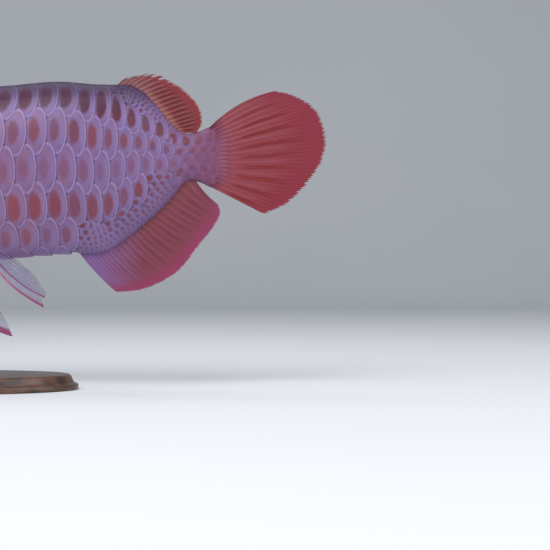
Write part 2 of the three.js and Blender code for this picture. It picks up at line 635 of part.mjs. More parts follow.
const fish = new THREE.Group();
fish.add(mesh("head", skull, HIDE), mesh("lower_jaw", jaw, HIDE));
fish.add(mesh("trunk", scaledBody(TRUNK_COLUMNS), HIDE));
const stem = scaledBody(STEM_COLUMNS).translate(GAP, 0, 0);
fish.add(mesh("tail_stem", stem, HIDE));
for (const [name, side] of [["left", -1], ["right", 1]]) {
  fish.add(mesh(`gill_cover_${name}`, gillCover(side < 0), BONE));
  fish.add(mesh(`eye_${name}`, eyeball(side), EYE_GLASS));
  fish.add(mesh(`barbel_${name}`, barbel(side, grownHead), FIN));
}
for (const [name, shape] of Object.entries(FINS))
  fish.add(mesh(name, largest(fin(shape).subtract(grownBody)), FIN));

const stand = new THREE.Group();
stand.add(mesh("stand_base", standBase(), WOOD), mesh("stand_rod", standRod(grownBody), STEEL));

const model = new THREE.Group();
model.add(fish, stand);
export default model;
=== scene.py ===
"""A red Asian arowana swimming level on a one-rod stand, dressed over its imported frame.

Lengths are millimetres until dressed() turns them to metres. The head points along -X, the tail
along +X, the fish's left side is -Y, and turn runs round the body from the back (0) down the +Y
side to the belly (pi) and up the -Y side.
"""

import bpy
import numpy as np
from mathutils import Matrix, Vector


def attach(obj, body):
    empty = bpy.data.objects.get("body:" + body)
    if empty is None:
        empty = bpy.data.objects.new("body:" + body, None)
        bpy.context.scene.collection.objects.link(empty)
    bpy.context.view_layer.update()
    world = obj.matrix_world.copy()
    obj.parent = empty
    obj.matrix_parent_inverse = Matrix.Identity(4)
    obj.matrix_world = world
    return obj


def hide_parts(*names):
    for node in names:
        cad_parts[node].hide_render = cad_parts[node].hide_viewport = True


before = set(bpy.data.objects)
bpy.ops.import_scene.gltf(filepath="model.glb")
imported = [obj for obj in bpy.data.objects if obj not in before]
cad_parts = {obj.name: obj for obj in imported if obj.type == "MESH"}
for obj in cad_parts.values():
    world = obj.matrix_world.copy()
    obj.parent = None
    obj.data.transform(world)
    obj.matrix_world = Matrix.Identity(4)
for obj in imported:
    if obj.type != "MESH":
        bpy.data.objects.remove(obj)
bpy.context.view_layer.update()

MM = 0.001
PI = np.pi
SEED = 7

# The body's outline and width at stations along X
SNOUT_X = -175.7
HEAD_END_X = -92.0
BACK = [
    (SNOUT_X, 230.3), (-173.9, 233.1), (-169.3, 235.8), (-161, 239.5), (-138, 250.5), (-110.4, 261.5),
    (-65.3, 272.6), (-9.2, 277.2), (46, 278.4), (101.2, 282.8), (140, 280.4), (156, 280.6), (165.6, 280),
    (174.8, 276.3), (184, 268.5), (193.2, 257.5), (202.4, 246), (211.6, 237.4), (220.8, 235.4),
    (227.2, 237.2), (242, 243.4), (250, 246.4), (257, 247.5),
]
BELLY = [
    (SNOUT_X, 230.3), (-174.8, 226.6), (-171.1, 218.4), (-158.2, 200), (-142.6, 181.6), (-119.6, 160.4),
    (-92, 142.9), (-64.4, 132.8), (-27.6, 124.5), (9.2, 120.8), (46, 120.4), (82.8, 123.6), (115, 125.4),
    (130, 124.2), (138, 124.9), (147.2, 128.2), (165.6, 141.1), (184, 156.3), (197.8, 169.6),
    (207, 180.2), (214.4, 189.4), (220.8, 192.8), (227.2, 191.7), (242, 186), (250, 183.4), (257, 182.6),
]
HALF_WIDTH = [
    (SNOUT_X, 0), (-174.8, 5), (-172.5, 8), (-167, 11.6), (-158, 15.6), (-140, 20.8), (-117, 26.5),
    (-92, 31.5), (-40, 36.5), (20, 37.5), (80, 34.5), (125, 29), (160, 21.5), (185, 15.5), (207, 11),
    (222, 8.6), (234, 6), (242, 4), (250, 2.2), (257, 0.8),
]
WIDEST = [(SNOUT_X, 0.5), (-140, 0.54), (-92, 0.52), (0, 0.52), (120, 0.53), (242, 0.5)]
BACK_ROUNDNESS = [(SNOUT_X, 2.4), (-140, 2.5), (-60, 2.3), (120, 2.2), (222, 2)]
BELLY_ROUNDNESS = [(SNOUT_X, 2.2), (-120, 2.1), (-40, 1.8), (100, 1.75), (222, 2)]

SKIN_STEP = 0.02  # how far to both sides, in radians, the outline's direction is taken

# The tail's sweep to the fish's right
TAIL_SWING = 15
SWING_START_X = 20
SWING_LENGTH = 326

# Rows of scales from the back to the belly: their depth as a share of the section, on the trunk and
# on the stem, and how much deeper they lie beside the dorsal fin
ROW_DEPTHS_TRUNK = (0, 0.105, 0.3, 0.51, 0.735, 0.885, 1)
ROW_DEPTHS_STEM = (0, 0.2, 0.38, 0.55, 0.74, 0.88, 1)
ROW_PUSH_DORSAL = (0.06, 0.06, 0.02, 0, 0, 0, 0)
STEM_ROWS_X, STEM_ROWS_EASE = 100, 90
DORSAL_ROWS_X, DORSAL_ROWS_EASE = (150, 200), 16

# The same rows: how strong and how large a scale's dark heart is, and how pink the scale is
HEART_STRENGTH = (0.3, 1.02, 0.88, 0.5, 0.88, 0.6, 0.15)
HEART_SIZE = (0.9, 1.1, 0.92, 0.86, 1.05, 0.75, 0.6)
PINKNESS = (0.0, 0.02, 0.3, 0.42, 0.5, 0.55, 0.6)

# Large scales: a column is half a scale long
COLUMN_X = [(-3, -104.0), (0, HEAD_END_X), (24, 111.8), (26, 128.8), (40, 219), (44, 240), (48, 255)]
SCALE_ROWS = 12
LAST_COLUMN = 45
SCALE_HALF_HEIGHT = 0.66  # of a row
SCALE_TUCK = 1.25  # how far a scale reaches forward under the next, in columns
SCALE_STEP = 1.35  # how high a hind rim stands
SCALE_THICKNESS = 0.7
SCALE_RIM, RIM_DROP = 0.985, 0.22  # where a scale rounds off, and how much of its thickness it drops
COVERED = 0.92  # small scales are left out where a large one's ellipse has less than this value

# Tiers of small scales: their way out from a fin's root is first + step k + bend k^2
TIER_FIRST, TIER_STEP, TIER_BEND = 2, 3, 0.36
TIER_GROWTH = 0.27
TIER_HALF_SPAN = 7  # the root's direction is taken over this way to both sides
SMALL_SCALE_BREADTH = 0.85  # of its length

# The head, in side view (x, z)
EYE_X, EYE_Z, EYE_RADIUS, EYE_DEPTH, EYE_SUNK = -139.8, 226.6, 10.6, 6.5, 2.6
MOUTH_LINE = [
    (-181, 233.4), (-175.7, 230.8), (-167.4, 226.6), (-156.4, 219.3), (-142.6, 208.2), (-128.8, 195.4),
    (-123.3, 189.8),
]
JAW_HIND_LINE = [(-123.3, 189.8), (-120.2, 180), (-119.6, 169), (-122.4, 156)]
UPPER_JAWBONE = [
    (-170, 231.2), (-160, 227.5), (-147, 217.5), (-134, 206), (-124, 197), (-119.5, 190.5),
    (-121.5, 187.5),
]
BROW_LINE = [(-152, 240.5), (-140, 242.5), (-128, 243)]
CHEEK_LINES = [
    [(-127.5, 236.5), (-122, 240), (-113, 241.5)],
    [(-129.2, 223), (-120, 221.5), (-112.6, 220)],
    [(-133, 215.5), (-128, 208), (-121, 200.5)],
    [(-113, 244.5), (-111.3, 232), (-111.6, 216), (-114.5, 200), (-119.5, 187)],
    [(-146.5, 218.6), (-149, 222.4)],
    [(-104.6, 247), (-103.2, 226), (-103.6, 204), (-107, 184), (-116, 166), (-126, 156)],
    [(-152, 244.3), (-146, 241.6), (-138, 240.6), (-129, 243.4), (-120, 250)],
]
GULAR_LINES = [
    [(-118.5, 171), (-110, 163), (-100, 156.5)],
    [(-119, 166.5), (-110, 157.5), (-100, 150.5)],
]
FRONT_NOSTRIL = (-165.6, 232.4)
REAR_NOSTRIL = (-154.6, 235.4)

# The gill covers: from which turn to which, and how far back and forward they reach
COVER_TURNS = (0.24 * PI, 0.87 * PI)
COVER_MIDDLE = 0.53 * PI
COVER_REACH_X = -64
COVER_FRONT_X = -101
COVER_ROOT_X = (-94.0, -104.0)  # the hind edge's ends, above and below

# The lines along which the dorsal and anal fins leave the body: share of the way, x, z
DORSAL_ROOT = [(0, 154.6, 280.5), (0.14, 166.5, 280), (0.34, 179.4, 272.6), (0.56, 191.4, 259.8),
               (0.78, 202.4, 246), (1, 213.4, 236.5)]
ANAL_ROOT = [(0, 119.6, 125), (0.15, 133.4, 124.5), (0.3, 147.2, 128.2), (0.5, 167.4, 142.5),
             (0.7, 186.8, 158.8), (0.85, 202.6, 175), (1, 225.5, 193.2)]
# The lines (x, z) that small scales follow. Where they take the large ones' place: the line, how far
# from it, and the reach along X of ordinary rows and of the rows on the two midlines
DORSAL_SHEATH = [(x, z) for _, x, z in DORSAL_ROOT]
ANAL_SHEATH = [(x, z) for _, x, z in ANAL_ROOT[:-1]] + [(214.5, 189.5)]
SMALL_SCALE_BANDS = [
    (DORSAL_SHEATH, 9, ((150, 199), (158, 203))),
    (ANAL_SHEATH, 19, ((106, 202), (116, 202))),
]


def ease(t):
    """Smoothstep: 3t^2 - 2t^3 on t clipped to 0..1."""
    c = np.clip(t, 0, 1)
    return c * c * (3 - 2 * c)


def ridge_of(distance, width):
    """A bell: exp(-(distance / width)^2)."""
    return np.exp(-((distance / width) ** 2))


def unit(vectors):
    """Vectors made 1 long."""
    return vectors / np.maximum(np.linalg.norm(vectors, axis=-1, keepdims=True), 1e-9)


def full_turn(count):
    """Angles evenly round a circle, from 0."""
    return np.arange(count) * 2 * PI / count


def through(pairs):
    """A curve through (x, value) pairs that never overshoots.

    Cubic Hermite pieces; the slope at a pair is the harmonic mean of the slopes beside it, or 0
    where they differ in sign.
    """
    x, v = np.array(pairs, float).T
    slope = np.diff(v) / np.diff(x)
    product, total = slope[:-1] * slope[1:], slope[:-1] + slope[1:]
    middle = np.where(product > 0, 2 * product / np.where(total == 0, 1, total), 0)
    tangent = np.concatenate([slope[:1], middle, slope[-1:]])

    def at(where):
        w = np.clip(where, x[0], x[-1])
        i = np.clip(np.searchsorted(x, w, side="right") - 1, 0, len(x) - 2)
        span = x[i + 1] - x[i]
        t = (w - x[i]) / span
        rise = t * t * (3 - 2 * t)
        bend = (t**3 - 2 * t * t + t) * tangent[i] + (t**3 - t * t) * tangent[i + 1]
        return v[i] * (1 - rise) + v[i + 1] * rise + bend * span

    return at


back_z, belly_z, half_width = through(BACK), through(BELLY), through(HALF_WIDTH)
widest = through(WIDEST)
back_roundness, belly_roundness = through(BACK_ROUNDNESS), through(BELLY_ROUNDNESS)
column_x = through(COLUMN_X)


def section(x):
    """The body's section: top, bottom, half width, height of the widest place, two exponents."""
    top, bottom = back_z(x), belly_z(x)
    middle = bottom + (top - bottom) * widest(x)
    return top, bottom, half_width(x), middle, back_roundness(x), belly_roundness(x)


def on_section(x, turn):
    """y = half |sin|^(2/n), z = middle +- reach |cos|^(2/n), n and reach of the upper or lower half."""
    top, bottom, half, middle, upper, lower = section(x)
    c, s = np.cos(turn), np.sin(turn)
    power = 2 / np.where(c > 0, upper, lower)
    reach = np.where(c > 0, top - middle, middle - bottom)
    return np.sign(s) * half * np.abs(s) ** power, middle + np.sign(c) * reach * np.abs(c) ** power


def skin(x, turn, lift=0.0):
    """A point of the skin, lifted square to the section's outline in the section's plane."""
    y, z = on_section(x, turn)
    ya, za = on_section(x, turn - SKIN_STEP)
    yb, zb = on_section(x, turn + SKIN_STEP)
    length = np.maximum(np.hypot(yb - ya, zb - za), 1e-6)
    return np.stack([x + 0 * y, y - lift * (zb - za) / length, z + lift * (yb - ya) / length], -1)


def skin_y(x, z):
    """The skin's distance from the middle plane at a place in side view: the section solved for y."""
    top, bottom, half, middle, upper, lower = section(x)
    above = z > middle
    reach = np.where(above, top - middle, middle - bottom)
    n = np.where(above, upper, lower)
    t = np.clip(np.abs(z - middle) / np.maximum(reach, 1e-6), 0, 1)
    return half * (1 - t**n) ** (1 / n)


def outward(x, z, side):
    """The skin's outward direction at a place in side view, from skin_y's slopes over 1 mm."""
    across = (skin_y(x + 1, z) - skin_y(x - 1, z)) / 2
    up = (skin_y(x, z + 1) - skin_y(x, z - 1)) / 2
    return unit(np.stack([-across, side + 0 * across, -up], -1))


def on_side(x, z, side, lift):
    """A point of the skin given in side view, lifted along the outward direction."""
    base = np.stack([x + 0 * z, side * skin_y(x, z), z + 0 * x], -1)
    return base + outward(x, z, side) * np.asarray(lift)[..., None]


def turn_at_depth(x, share):
    """The turn at a depth share of the section at x: on_section's z solved for turn."""
    top, bottom, _, middle, upper, lower = section(x)
    z = top + (bottom - top) * share
    above = np.clip((z - middle) / (top - middle), 0, 1)
    below = np.clip((middle - z) / (middle - bottom), 0, 1)
    return np.where(z > middle, np.arccos(above ** (upper / 2)), PI - np.arccos(below ** (lower / 2)))


def row_turn(x, row):
    """The turn of a row of scales; rows between whole numbers lie between their neighbours' turns.

    A row's depth goes from the trunk's to the stem's, and deeper beside the dorsal fin.
    """
    folded = np.abs(row)
    over = folded > SCALE_ROWS / 2
    from_back = np.where(over, SCALE_ROWS - folded, folded)
    low = np.clip(np.floor(from_back).astype(int), 0, SCALE_ROWS // 2 - 1)
    stem = ease((x - STEM_ROWS_X) / STEM_ROWS_EASE)
    front, hind = DORSAL_ROWS_X
    by_dorsal = ease((x - front) / DORSAL_ROWS_EASE) * ease((hind - x) / DORSAL_ROWS_EASE)
    depths = [
        trunk + (tail - trunk) * stem + push * by_dorsal
        for trunk, tail, push in zip(ROW_DEPTHS_TRUNK, ROW_DEPTHS_STEM, ROW_PUSH_DORSAL)
    ]
    turns = np.stack([turn_at_depth(x, depth) for depth in depths])
    first = np.take_along_axis(turns, low[None], 0)[0]
    second = np.take_along_axis(turns, low[None] + 1, 0)[0]
    turn = first + (second - first) * (from_back - low)
    return np.sign(row) * np.where(over, 2 * PI - turn, turn)


def cover_edge(turn):
    """The gill cover's hind edge: root + (reach - root) sqrt(1 - 0.96 t^2), furthest back at t = 0."""
    top, bottom = COVER_TURNS
    upper = turn < COVER_MIDDLE
    t = (turn - COVER_MIDDLE) / np.where(upper, COVER_MIDDLE - top, bottom - COVER_MIDDLE)
    root = np.where(upper, *COVER_ROOT_X)
    bow = np.sqrt(np.clip(1 - 0.96 * t * t, 0, 1))
    return np.where((turn < top) | (turn > bottom), HEAD_END_X + 1, root + (COVER_REACH_X - root) * bow)


def cover_front(turn):
    """The gill cover's sunk front edge, which runs forward below the cheek."""
    return COVER_FRONT_X - 26 * ease((turn - 0.62 * PI) / (0.3 * PI))


# Putting arrays into Blender


def swept(points):
    """The tail's sweep: y grows with the square of the way past SWING_START_X."""
    way = np.maximum(0, (points[..., 0] - SWING_START_X) / SWING_LENGTH)
    moved = np.array(points, float)
    moved[..., 1] += TAIL_SWING * way**2
    return moved


def grid_faces(rows, columns, wrap=False):
    """Quads of a grid of vertices, and of its last column back to its first where it wraps."""
    index = np.arange(rows * columns).reshape(rows, columns)
    right = np.roll(index, -1, axis=1) if wrap else index[:, 1:]
    left = index if wrap else index[:, :-1]
    return np.stack([left[:-1], left[1:], right[1:], right[:-1]], -1).reshape(-1, 4)


def fan_faces(centre, ring):
    """Triangles from one vertex to a ring of vertices."""
    return np.stack([np.full(len(ring), centre), ring, np.roll(ring, -1)], -1)


def closed_round(rows, around):
    """Faces of a wrapping grid of vertices that is followed by a pole for its first and last row."""
    count = rows * around
    first, last = np.arange(around), np.arange(count - around, count)
    return [grid_faces(rows, around, True), fan_faces(count, first), fan_faces(count + 1, last[::-1])]


def signed_volume(points, faces):
    """A sixth of the sum over each face's triangles of a . (b x c)."""
    total = 0.0
    for group in faces:
        a = points[group[:, 0]]
        for k in range(1, group.shape[1] - 1):
            b, c = points[group[:, k]], points[group[:, k + 1]]
            total += np.einsum("ij,ij->", a, np.cross(b, c)) / 6
    return total


def dressed(name, points, faces, material, replaces=(), swing=True, vectors=None, uv=None):
    """A piece from points in mm and arrays of faces, turned outwards and set on the frame.

    swing is whether it takes part in the tail's sweep, vectors are values at its points by name, and
    uv is its map for a bake.
    """
    places = (swept(points) if swing else np.asarray(points, float)) * MM
    if signed_volume(places - places.mean(0), faces) < 0:
        faces = [group[:, ::-1] for group in faces]
    loops = np.concatenate([group.ravel() for group in faces]).astype(np.int32)
    totals = np.concatenate([np.full(len(group), group.shape[1]) for group in faces])
    mesh = bpy.data.meshes.new(name)
    mesh.vertices.add(len(places))
    mesh.vertices.foreach_set("co", places.ravel())
    mesh.loops.add(len(loops))
    mesh.loops.foreach_set("vertex_index", loops)
    mesh.polygons.add(len(totals))
    starts = np.concatenate([[0], np.cumsum(totals)[:-1]]).astype(np.int32)
    mesh.polygons.foreach_set("loop_start", starts)
    mesh.update(calc_edges=True)
    mesh.polygons.foreach_set("use_smooth", np.ones(len(totals), bool))
    for key, values in (vectors or {}).items():
        layer = mesh.attributes.new(key, "FLOAT_VECTOR", "POINT")
        layer.data.foreach_set("vector", np.asarray(values, float).ravel())
    if uv is not None:
        mesh.uv_layers.new(name="OFBake").data.foreach_set("uv", uv[loops].ravel())
    mesh.materials.append(material)
    piece = bpy.data.objects.new(name, mesh)
    bpy.context.scene.collection.objects.link(piece)
    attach(piece, "root")
    if replaces:
        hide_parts(*replaces)


def closed_sheet(upper, under):
    """Points and faces of a sheet with thickness: two grids joined along their four edges."""
    rows, columns = upper.shape[:2]
    quads = grid_faces(rows, columns)
    count = rows * columns
    index = np.arange(count).reshape(rows, columns)
    rim = np.concatenate([index[0, :-1], index[:-1, -1], index[-1, :0:-1], index[:0:-1, 0]])
    after = np.roll(rim, -1)
    edge = np.stack([rim, after, after + count, rim + count], -1)
    points = np.concatenate([upper.reshape(-1, 3), under.reshape(-1, 3)])
    return points, [quads, quads[:, ::-1] + count, edge]


def tube(path, radius, sides):
    """A closed tapering strand: circles square to a path's tangent, joined, with a pole at each end."""
    tangent = unit(np.gradient(path, axis=0))
    aside = unit(np.cross(tangent, [0.0, 0.15, 1.0]))
    over = np.cross(tangent, aside)
    turn = full_turn(sides)
    out = np.cos(turn)[None, :, None] * aside[:, None] + np.sin(turn)[None, :, None] * over[:, None]
    rings = path[:, None] + out * radius[:, None, None]
    points = np.concatenate([rings.reshape(-1, 3), path[:1], path[-1:]])
    return points, closed_round(len(path), sides)


def smooth_path(places, steps):
    """A curve through 3-D places, each coordinate by through() over the length along them."""
    places = np.array(places, float)
    way = np.concatenate([[0], np.cumsum(np.linalg.norm(np.diff(places, axis=0), axis=1))])
    at = np.linspace(0, way[-1], steps)
    return np.stack([through(list(zip(way, places[:, k])))(at) for k in range(3)], -1)


# Materials


class Flow:
    """A shader socket with arithmetic: each operator adds a Math node."""

    def __init__(self, shader, socket):
        self.shader, self.socket = shader, socket

    def math(self, operation, *others):
        inputs = dict(enumerate([self, *others]))
        return self.shader.node("ShaderNodeMath", {"operation": operation}, inputs)

    def __add__(self, other):
        return self.math("ADD", other)

    def __sub__(self, other):
        return self.math("SUBTRACT", other)

    def __mul__(self, other):
        return self.math("MULTIPLY", other)

    def __truediv__(self, other):
        return self.math("DIVIDE", other)

    def __pow__(self, other):
        return self.math("POWER", other)

    def sine(self):
        return self.math("SINE")

    def step(self, low, high):
        """0 below low, 1 above high, smoothstep between; low above high turns it round."""
        settings = {"interpolation_type": "SMOOTHSTEP"}
        inputs = {"Value": self, "From Min": low, "From Max": high}
        if low > high:
            inputs = {"Value": self, "From Min": high, "From Max": low, "To Min": 1.0, "To Max": 0.0}
        return self.shader.node("ShaderNodeMapRange", settings, inputs)

    def blend(self, first, second):
        """The first colour where this is 0, the second where it is 1."""
        settings = {"data_type": "RGBA"}
        return self.shader.node("ShaderNodeMix", settings, {0: self, 6: first, 7: second}, out=2)


class Finish:
    """One material's nodes; the named values are constant inputs of its Principled shader."""

    def __init__(self, name, **surface):
        self.material = bpy.data.materials.new(name)
        self.material.use_nodes = True
        self.tree = self.material.node_tree
        self.surface = self.tree.nodes["Principled BSDF"]
        for key, value in surface.items():
            self.set(key.replace("_", " ").title().replace("Ior", "IOR"), value)

    def put(self, socket, value):
        if isinstance(value, Flow):
            self.tree.links.new(value.socket, socket)
        elif isinstance(value, tuple) and len(value) == 3 and socket.type == "RGBA":
            socket.default_value = (*value, 1.0)
        else:
            socket.default_value = value

    def set(self, key, value):
        self.put(self.surface.inputs[key], value)

    def node(self, kind, settings=None, inputs=None, out=0):
        made = self.tree.nodes.new(kind)
        for key, value in (settings or {}).items():
            setattr(made, key, value)
        for key, value in (inputs or {}).items():
            self.put(made.inputs[key], value)
        return Flow(self, made.outputs[out])

    def place(self):
        return self.node("ShaderNodeTexCoord", out=3)

    def attribute(self, name):
        return self.node("ShaderNodeAttribute", {"attribute_name": name}, out=1)

    def split(self, vector):
        first = self.node("ShaderNodeSeparateXYZ", None, {0: vector})
        return [Flow(self, output) for output in first.socket.node.outputs]

    def stretched(self, vector, scale):
        return self.node("ShaderNodeMapping", None, {"Vector": vector, "Scale": scale})

    def noise(self, vector, scale, detail, roughness=0.55):
        inputs = {"Vector": vector, "Scale": scale, "Detail": detail, "Roughness": roughness}
        return self.node("ShaderNodeTexNoise", None, inputs)

    def cells(self, vector, scale):
        """The distance to the nearest of scattered points."""
        return self.node("ShaderNodeTexVoronoi", {"feature": "F1"}, {"Vector": vector, "Scale": scale})

    def made(self, colour, roughness, height=None, distance=0.0, strength=1.0):
        """The material in a colour and roughness, with a bump of height times distance in metres."""
        self.set("Base Color", colour)
        self.set("Roughness", roughness)
        if height:
            inputs = {"Height": height, "Distance": distance, "Strength": strength}
            self.set("Normal", self.node("ShaderNodeBump", None, inputs))
        return self.material


def tone(red, green, blue):
    """A colour given in display values 0..255, made linear."""
    c = np.array([red, green, blue]) / 255
    linear = np.where(c <= 0.04045, c / 12.92, ((c + 0.055) / 1.055) ** 2.4)
    return tuple(float(v) for v in linear)


LAVENDER = tone(113, 92, 140)
PALE_LAVENDER = tone(147, 126, 174)
MAUVE = tone(116, 88, 126)
BACK_PURPLE = tone(50, 29, 64)
MAROON = tone(97, 47, 64)
DARK_MAROON = tone(62, 6, 46)
RED_PINK = tone(158, 74, 86)
ROSE = tone(138, 92, 120)
FLESH_MAUVE = tone(116, 56, 86)
DUSTY_ROSE = tone(130, 53, 64)
DEEP_RED = tone(126, 26, 38)
CRIMSON = tone(112, 3, 12)
MAGENTA = tone(134, 40, 80)
TAN = tone(140, 84, 74)


def scale_finish():
    """Lavender scales with a maroon heart and a pale crescent rim, and painted light that makes the
    lower rows paler.

    tile holds a point's place on its scale (columns back, rows down) and the scale's own chance;
    mood holds how strong and how large its heart is, and how pink it is.
    """
    f = Finish(
        "scale_lavender", metallic=0.04, coat_weight=0.08, coat_roughness=0.15, specular_ior_level=0.28
    )
    back, down, chance = f.split(f.attribute("tile"))
    strength, large, pink = f.split(f.attribute("mood"))
    place = f.place()
    x, _, z = f.split(place)
    ragged = f.noise(place, 420.0, 3.0) - 0.5
    streak = f.noise(f.stretched(place, (1.0, 1.0, 0.22)), 900.0, 2.0)
    radius = (back * back + (down / SCALE_HALF_HEIGHT) ** 2) ** 0.5
    to_back = z.step(0.252, 0.28)
    body = f.noise(place, 90.0, 2.0).step(0.35, 0.7).blend(LAVENDER, MAUVE)
    body = pink.blend(body, ROSE)
    body = (back.step(0.15, 0.9) * 0.3).blend(body, PALE_LAVENDER)
    # Painted light: below z 0.155 m the scales are made up to half paler, standing in for light on the
    # lower side, which the lamps leave in shade.
    body = (z.step(0.155, 0.122) * 0.5).blend(body, PALE_LAVENDER)
    body = to_back.blend(body, BACK_PURPLE)
    body = (x.step(0.19, 0.24) * 0.8).blend(body, FLESH_MAUVE)
    core = (pink * 0.8 + chance * 0.2).blend(MAROON, RED_PINK)
    core = z.step(0.225, 0.268).blend(core, DARK_MAROON)
    bowed = back + 0.26 + down * down * 0.9
    heart = ((bowed / (large * 0.56)) ** 2 + (down / (large * 0.37)) ** 2 + ragged * 0.8).step(1.5, 0.45)
    colour = (heart * strength * (streak * 0.5 + 0.75)).blend(body, core)
    shadow = radius.step(0.66, 0.8) * radius.step(0.93, 0.85) * back.step(-0.2, 0.3)
    colour = (shadow * 0.2).blend(colour, BACK_PURPLE)
    rim = radius.step(0.8, 0.96) * back.step(-0.3, 0.25) * (to_back * -0.8 + 1) * x.step(0.26, 0.19)
    colour = (rim * 0.6).blend(colour, PALE_LAVENDER)
    rings = (radius * 70.0 + ragged * 4.0).sine() * 0.5
    rough = f.noise(place, 700.0, 2.0) * 0.25 + 0.3
    return f.made(colour, rough, rings + streak * 0.8, 0.00008, 0.7)


def skin_finish():
    """The hide between and before the scales: dark on the crown, rosy on lips and upper jaws.

    relief holds the lips, the upper jawbone and the orbit's rim, each from 0 to 1.
    """
    f = Finish("hide_mauve", coat_roughness=0.1, metallic=0.1)
    place = f.place()
    x, _, z = f.split(place)
    cloud = f.noise(place, 60.0, 4.0)
    fine = f.noise(place, 700.0, 3.0)
    colour = cloud.step(0.35, 0.68).blend(LAVENDER, MAUVE)
    crown = (z + x * -0.42 + cloud * 0.012).step(0.292, 0.311) * x.step(-0.075, -0.1)
    colour = crown.blend(colour, BACK_PURPLE)
    back_line = z.step(0.25, 0.278) * x.step(-0.1, -0.08)
    colour = back_line.blend(colour, BACK_PURPLE)
    colour = x.step(0.205, 0.235).blend(colour, FLESH_MAUVE)
    lip, bone, near_eye = f.split(f.attribute("relief"))
    colour = (bone * 0.5).blend(colour, ROSE)
    colour = (lip * 0.85).blend(colour, tone(138, 56, 72))
    colour = (near_eye * 0.7).blend(colour, tone(72, 42, 60))
    freckle = f.cells(place, 230.0).step(0.24, 0.12) * cloud.step(0.42, 0.6) * x.step(-0.09, -0.1)
    colour = (freckle * 0.45).blend(colour, MAROON)
    f.set("Coat Weight", x.step(0.0, -0.08) * 0.4 + 0.05)
    pores = f.cells(place, 520.0).step(0.0, 0.35)
    return f.made(colour, fine * 0.22 + 0.22, fine * 0.7 + pores * 0.5, 0.00016, 0.8)


def cover_finish():
    """Polished gill cover: lavender, with a ragged red flush and hind margin, finely rayed.

    tile holds the place from the front edge to the hind one, and from the top to the bottom.
    """
    f = Finish("gill_cover_sheen", metallic=0.22, coat_weight=0.4, coat_roughness=0.08)
    across, along, _ = f.split(f.attribute("tile"))
    place = f.place()
    cloud = f.noise(place, 38.0, 4.0)
    mottle = f.noise(place, 150.0, 3.0)
    drift = (cloud - 0.5) * 0.5 + (mottle - 0.5) * 0.25
    from_middle = (across - 0.66 + drift) ** 2 * 5.0 + (along - 0.47 + drift * 0.5) ** 2 * 6.5
    flush = from_middle.step(1.0, 0.08)
    colour = cloud.step(0.3, 0.7).blend(LAVENDER, tone(132, 112, 156))
    colour = (mottle.step(0.5, 0.72) * 0.35).blend(colour, ROSE)
    colour = (flush * 0.8).blend(colour, tone(142, 58, 68))
    margin = across.step(0.9, 0.975)
    colour = (margin * 0.8).blend(colour, DEEP_RED)
    colour = (along.step(0.16, 0.0) * 0.85).blend(colour, BACK_PURPLE)
    fan = ((along - 0.2) / (across + 0.25)) * 46.0
    rays = (fan + f.noise(place, 120.0, 2.0) * 3.0).sine()
    rough = f.noise(place, 260.0, 3.0) * 0.2 + 0.18
    return f.made(colour, rough, rays * 0.5 + f.noise(place, 500.0, 2.0) * 0.6, 0.00012, 0.6)


def fin_finish(name, root, middle, margin, stripe, stripes, fine, dark=1.0, edge=0.5, front=None):
    """A rayed fin: colours run from the root to the margin, with dark spindles between the rays.

    ray holds the place from the leading ray to the last, from root to tip, and the height of the ray.
    stripes and dark are how many spindles there are and how dark they are, fine is how dark the web
    is beside each ray, and edge is where the margin's colour begins. front is the colour of the
    leading part, where one is given, and there the dark marks fade out over a longer way.
    """
    f = Finish(name, coat_weight=0.12, coat_roughness=0.25, specular_ior_level=0.35)
    aside, outwards, height = f.split(f.attribute("ray"))
    place = f.place()
    cloud = f.noise(place, 70.0, 4.0)
    far = outwards + (cloud - 0.5) * 0.2
    colour = far.step(0.02, 0.24).blend(root, middle)
    marked = aside.step(0.02, 0.2)
    if front:
        colour = (aside + far * 0.3 + cloud * 0.2).step(0.75, 0.2).blend(colour, front)
        marked = aside.step(0.08, 0.45)
    colour = far.step(edge, edge + 0.4).blend(colour, margin)
    web = (height * -1 + 1) * far.step(0.08, 0.3) * far.step(1.0, 0.7) * (marked * 0.5 + 0.5)
    colour = (web * fine).blend(colour, stripe)
    wave = (aside * (stripes * 2 * PI) + (cloud - 0.5) * 1.6).sine()
    spindle = wave.step(0.25, 0.8) * far.step(0.16, 0.36) * far.step(0.86, 0.6) * marked
    colour = (spindle * (cloud * 0.3 + 0.75) * dark).blend(colour, stripe)
    joints = (outwards * 420.0).sine().step(0.55, 0.95) * height * outwards.step(0.25, 0.45)
    colour = (joints * 0.18).blend(colour, stripe)
    grain = joints * -0.6 + f.noise(place, 800.0, 2.0) * 0.6
    return f.made(colour, cloud * 0.3 + 0.34, grain, 0.0001, 0.6)


def clear_fin_finish():
    """A nearly clear fin: a rosy leading ray, fainter rays behind it, and a bluish web."""
    f = Finish("paired_clear", coat_weight=0.2, coat_roughness=0.15, specular_ior_level=0.4)
    aside, outwards, height = f.split(f.attribute("ray"))
    place = f.place()
    cloud = f.noise(place, 80.0, 3.0)
    lead = aside.step(0.13, 0.04)
    root = (outwards + cloud * 0.1).step(0.22, 0.04)
    colour = (height * 0.7).blend(tone(122, 128, 172), tone(142, 92, 136))
    colour = lead.blend(colour, tone(150, 66, 110))
    colour = root.blend(colour, MAUVE)
    opaque = lead.math("MAXIMUM", root * 0.9)
    faint = height * (outwards * -0.2 + 0.4) + 0.1
    f.set("Alpha", opaque.math("MAXIMUM", faint))
    return f.made(colour, cloud * 0.2 + 0.25, f.noise(place, 800.0, 2.0), 0.00008, 0.5)


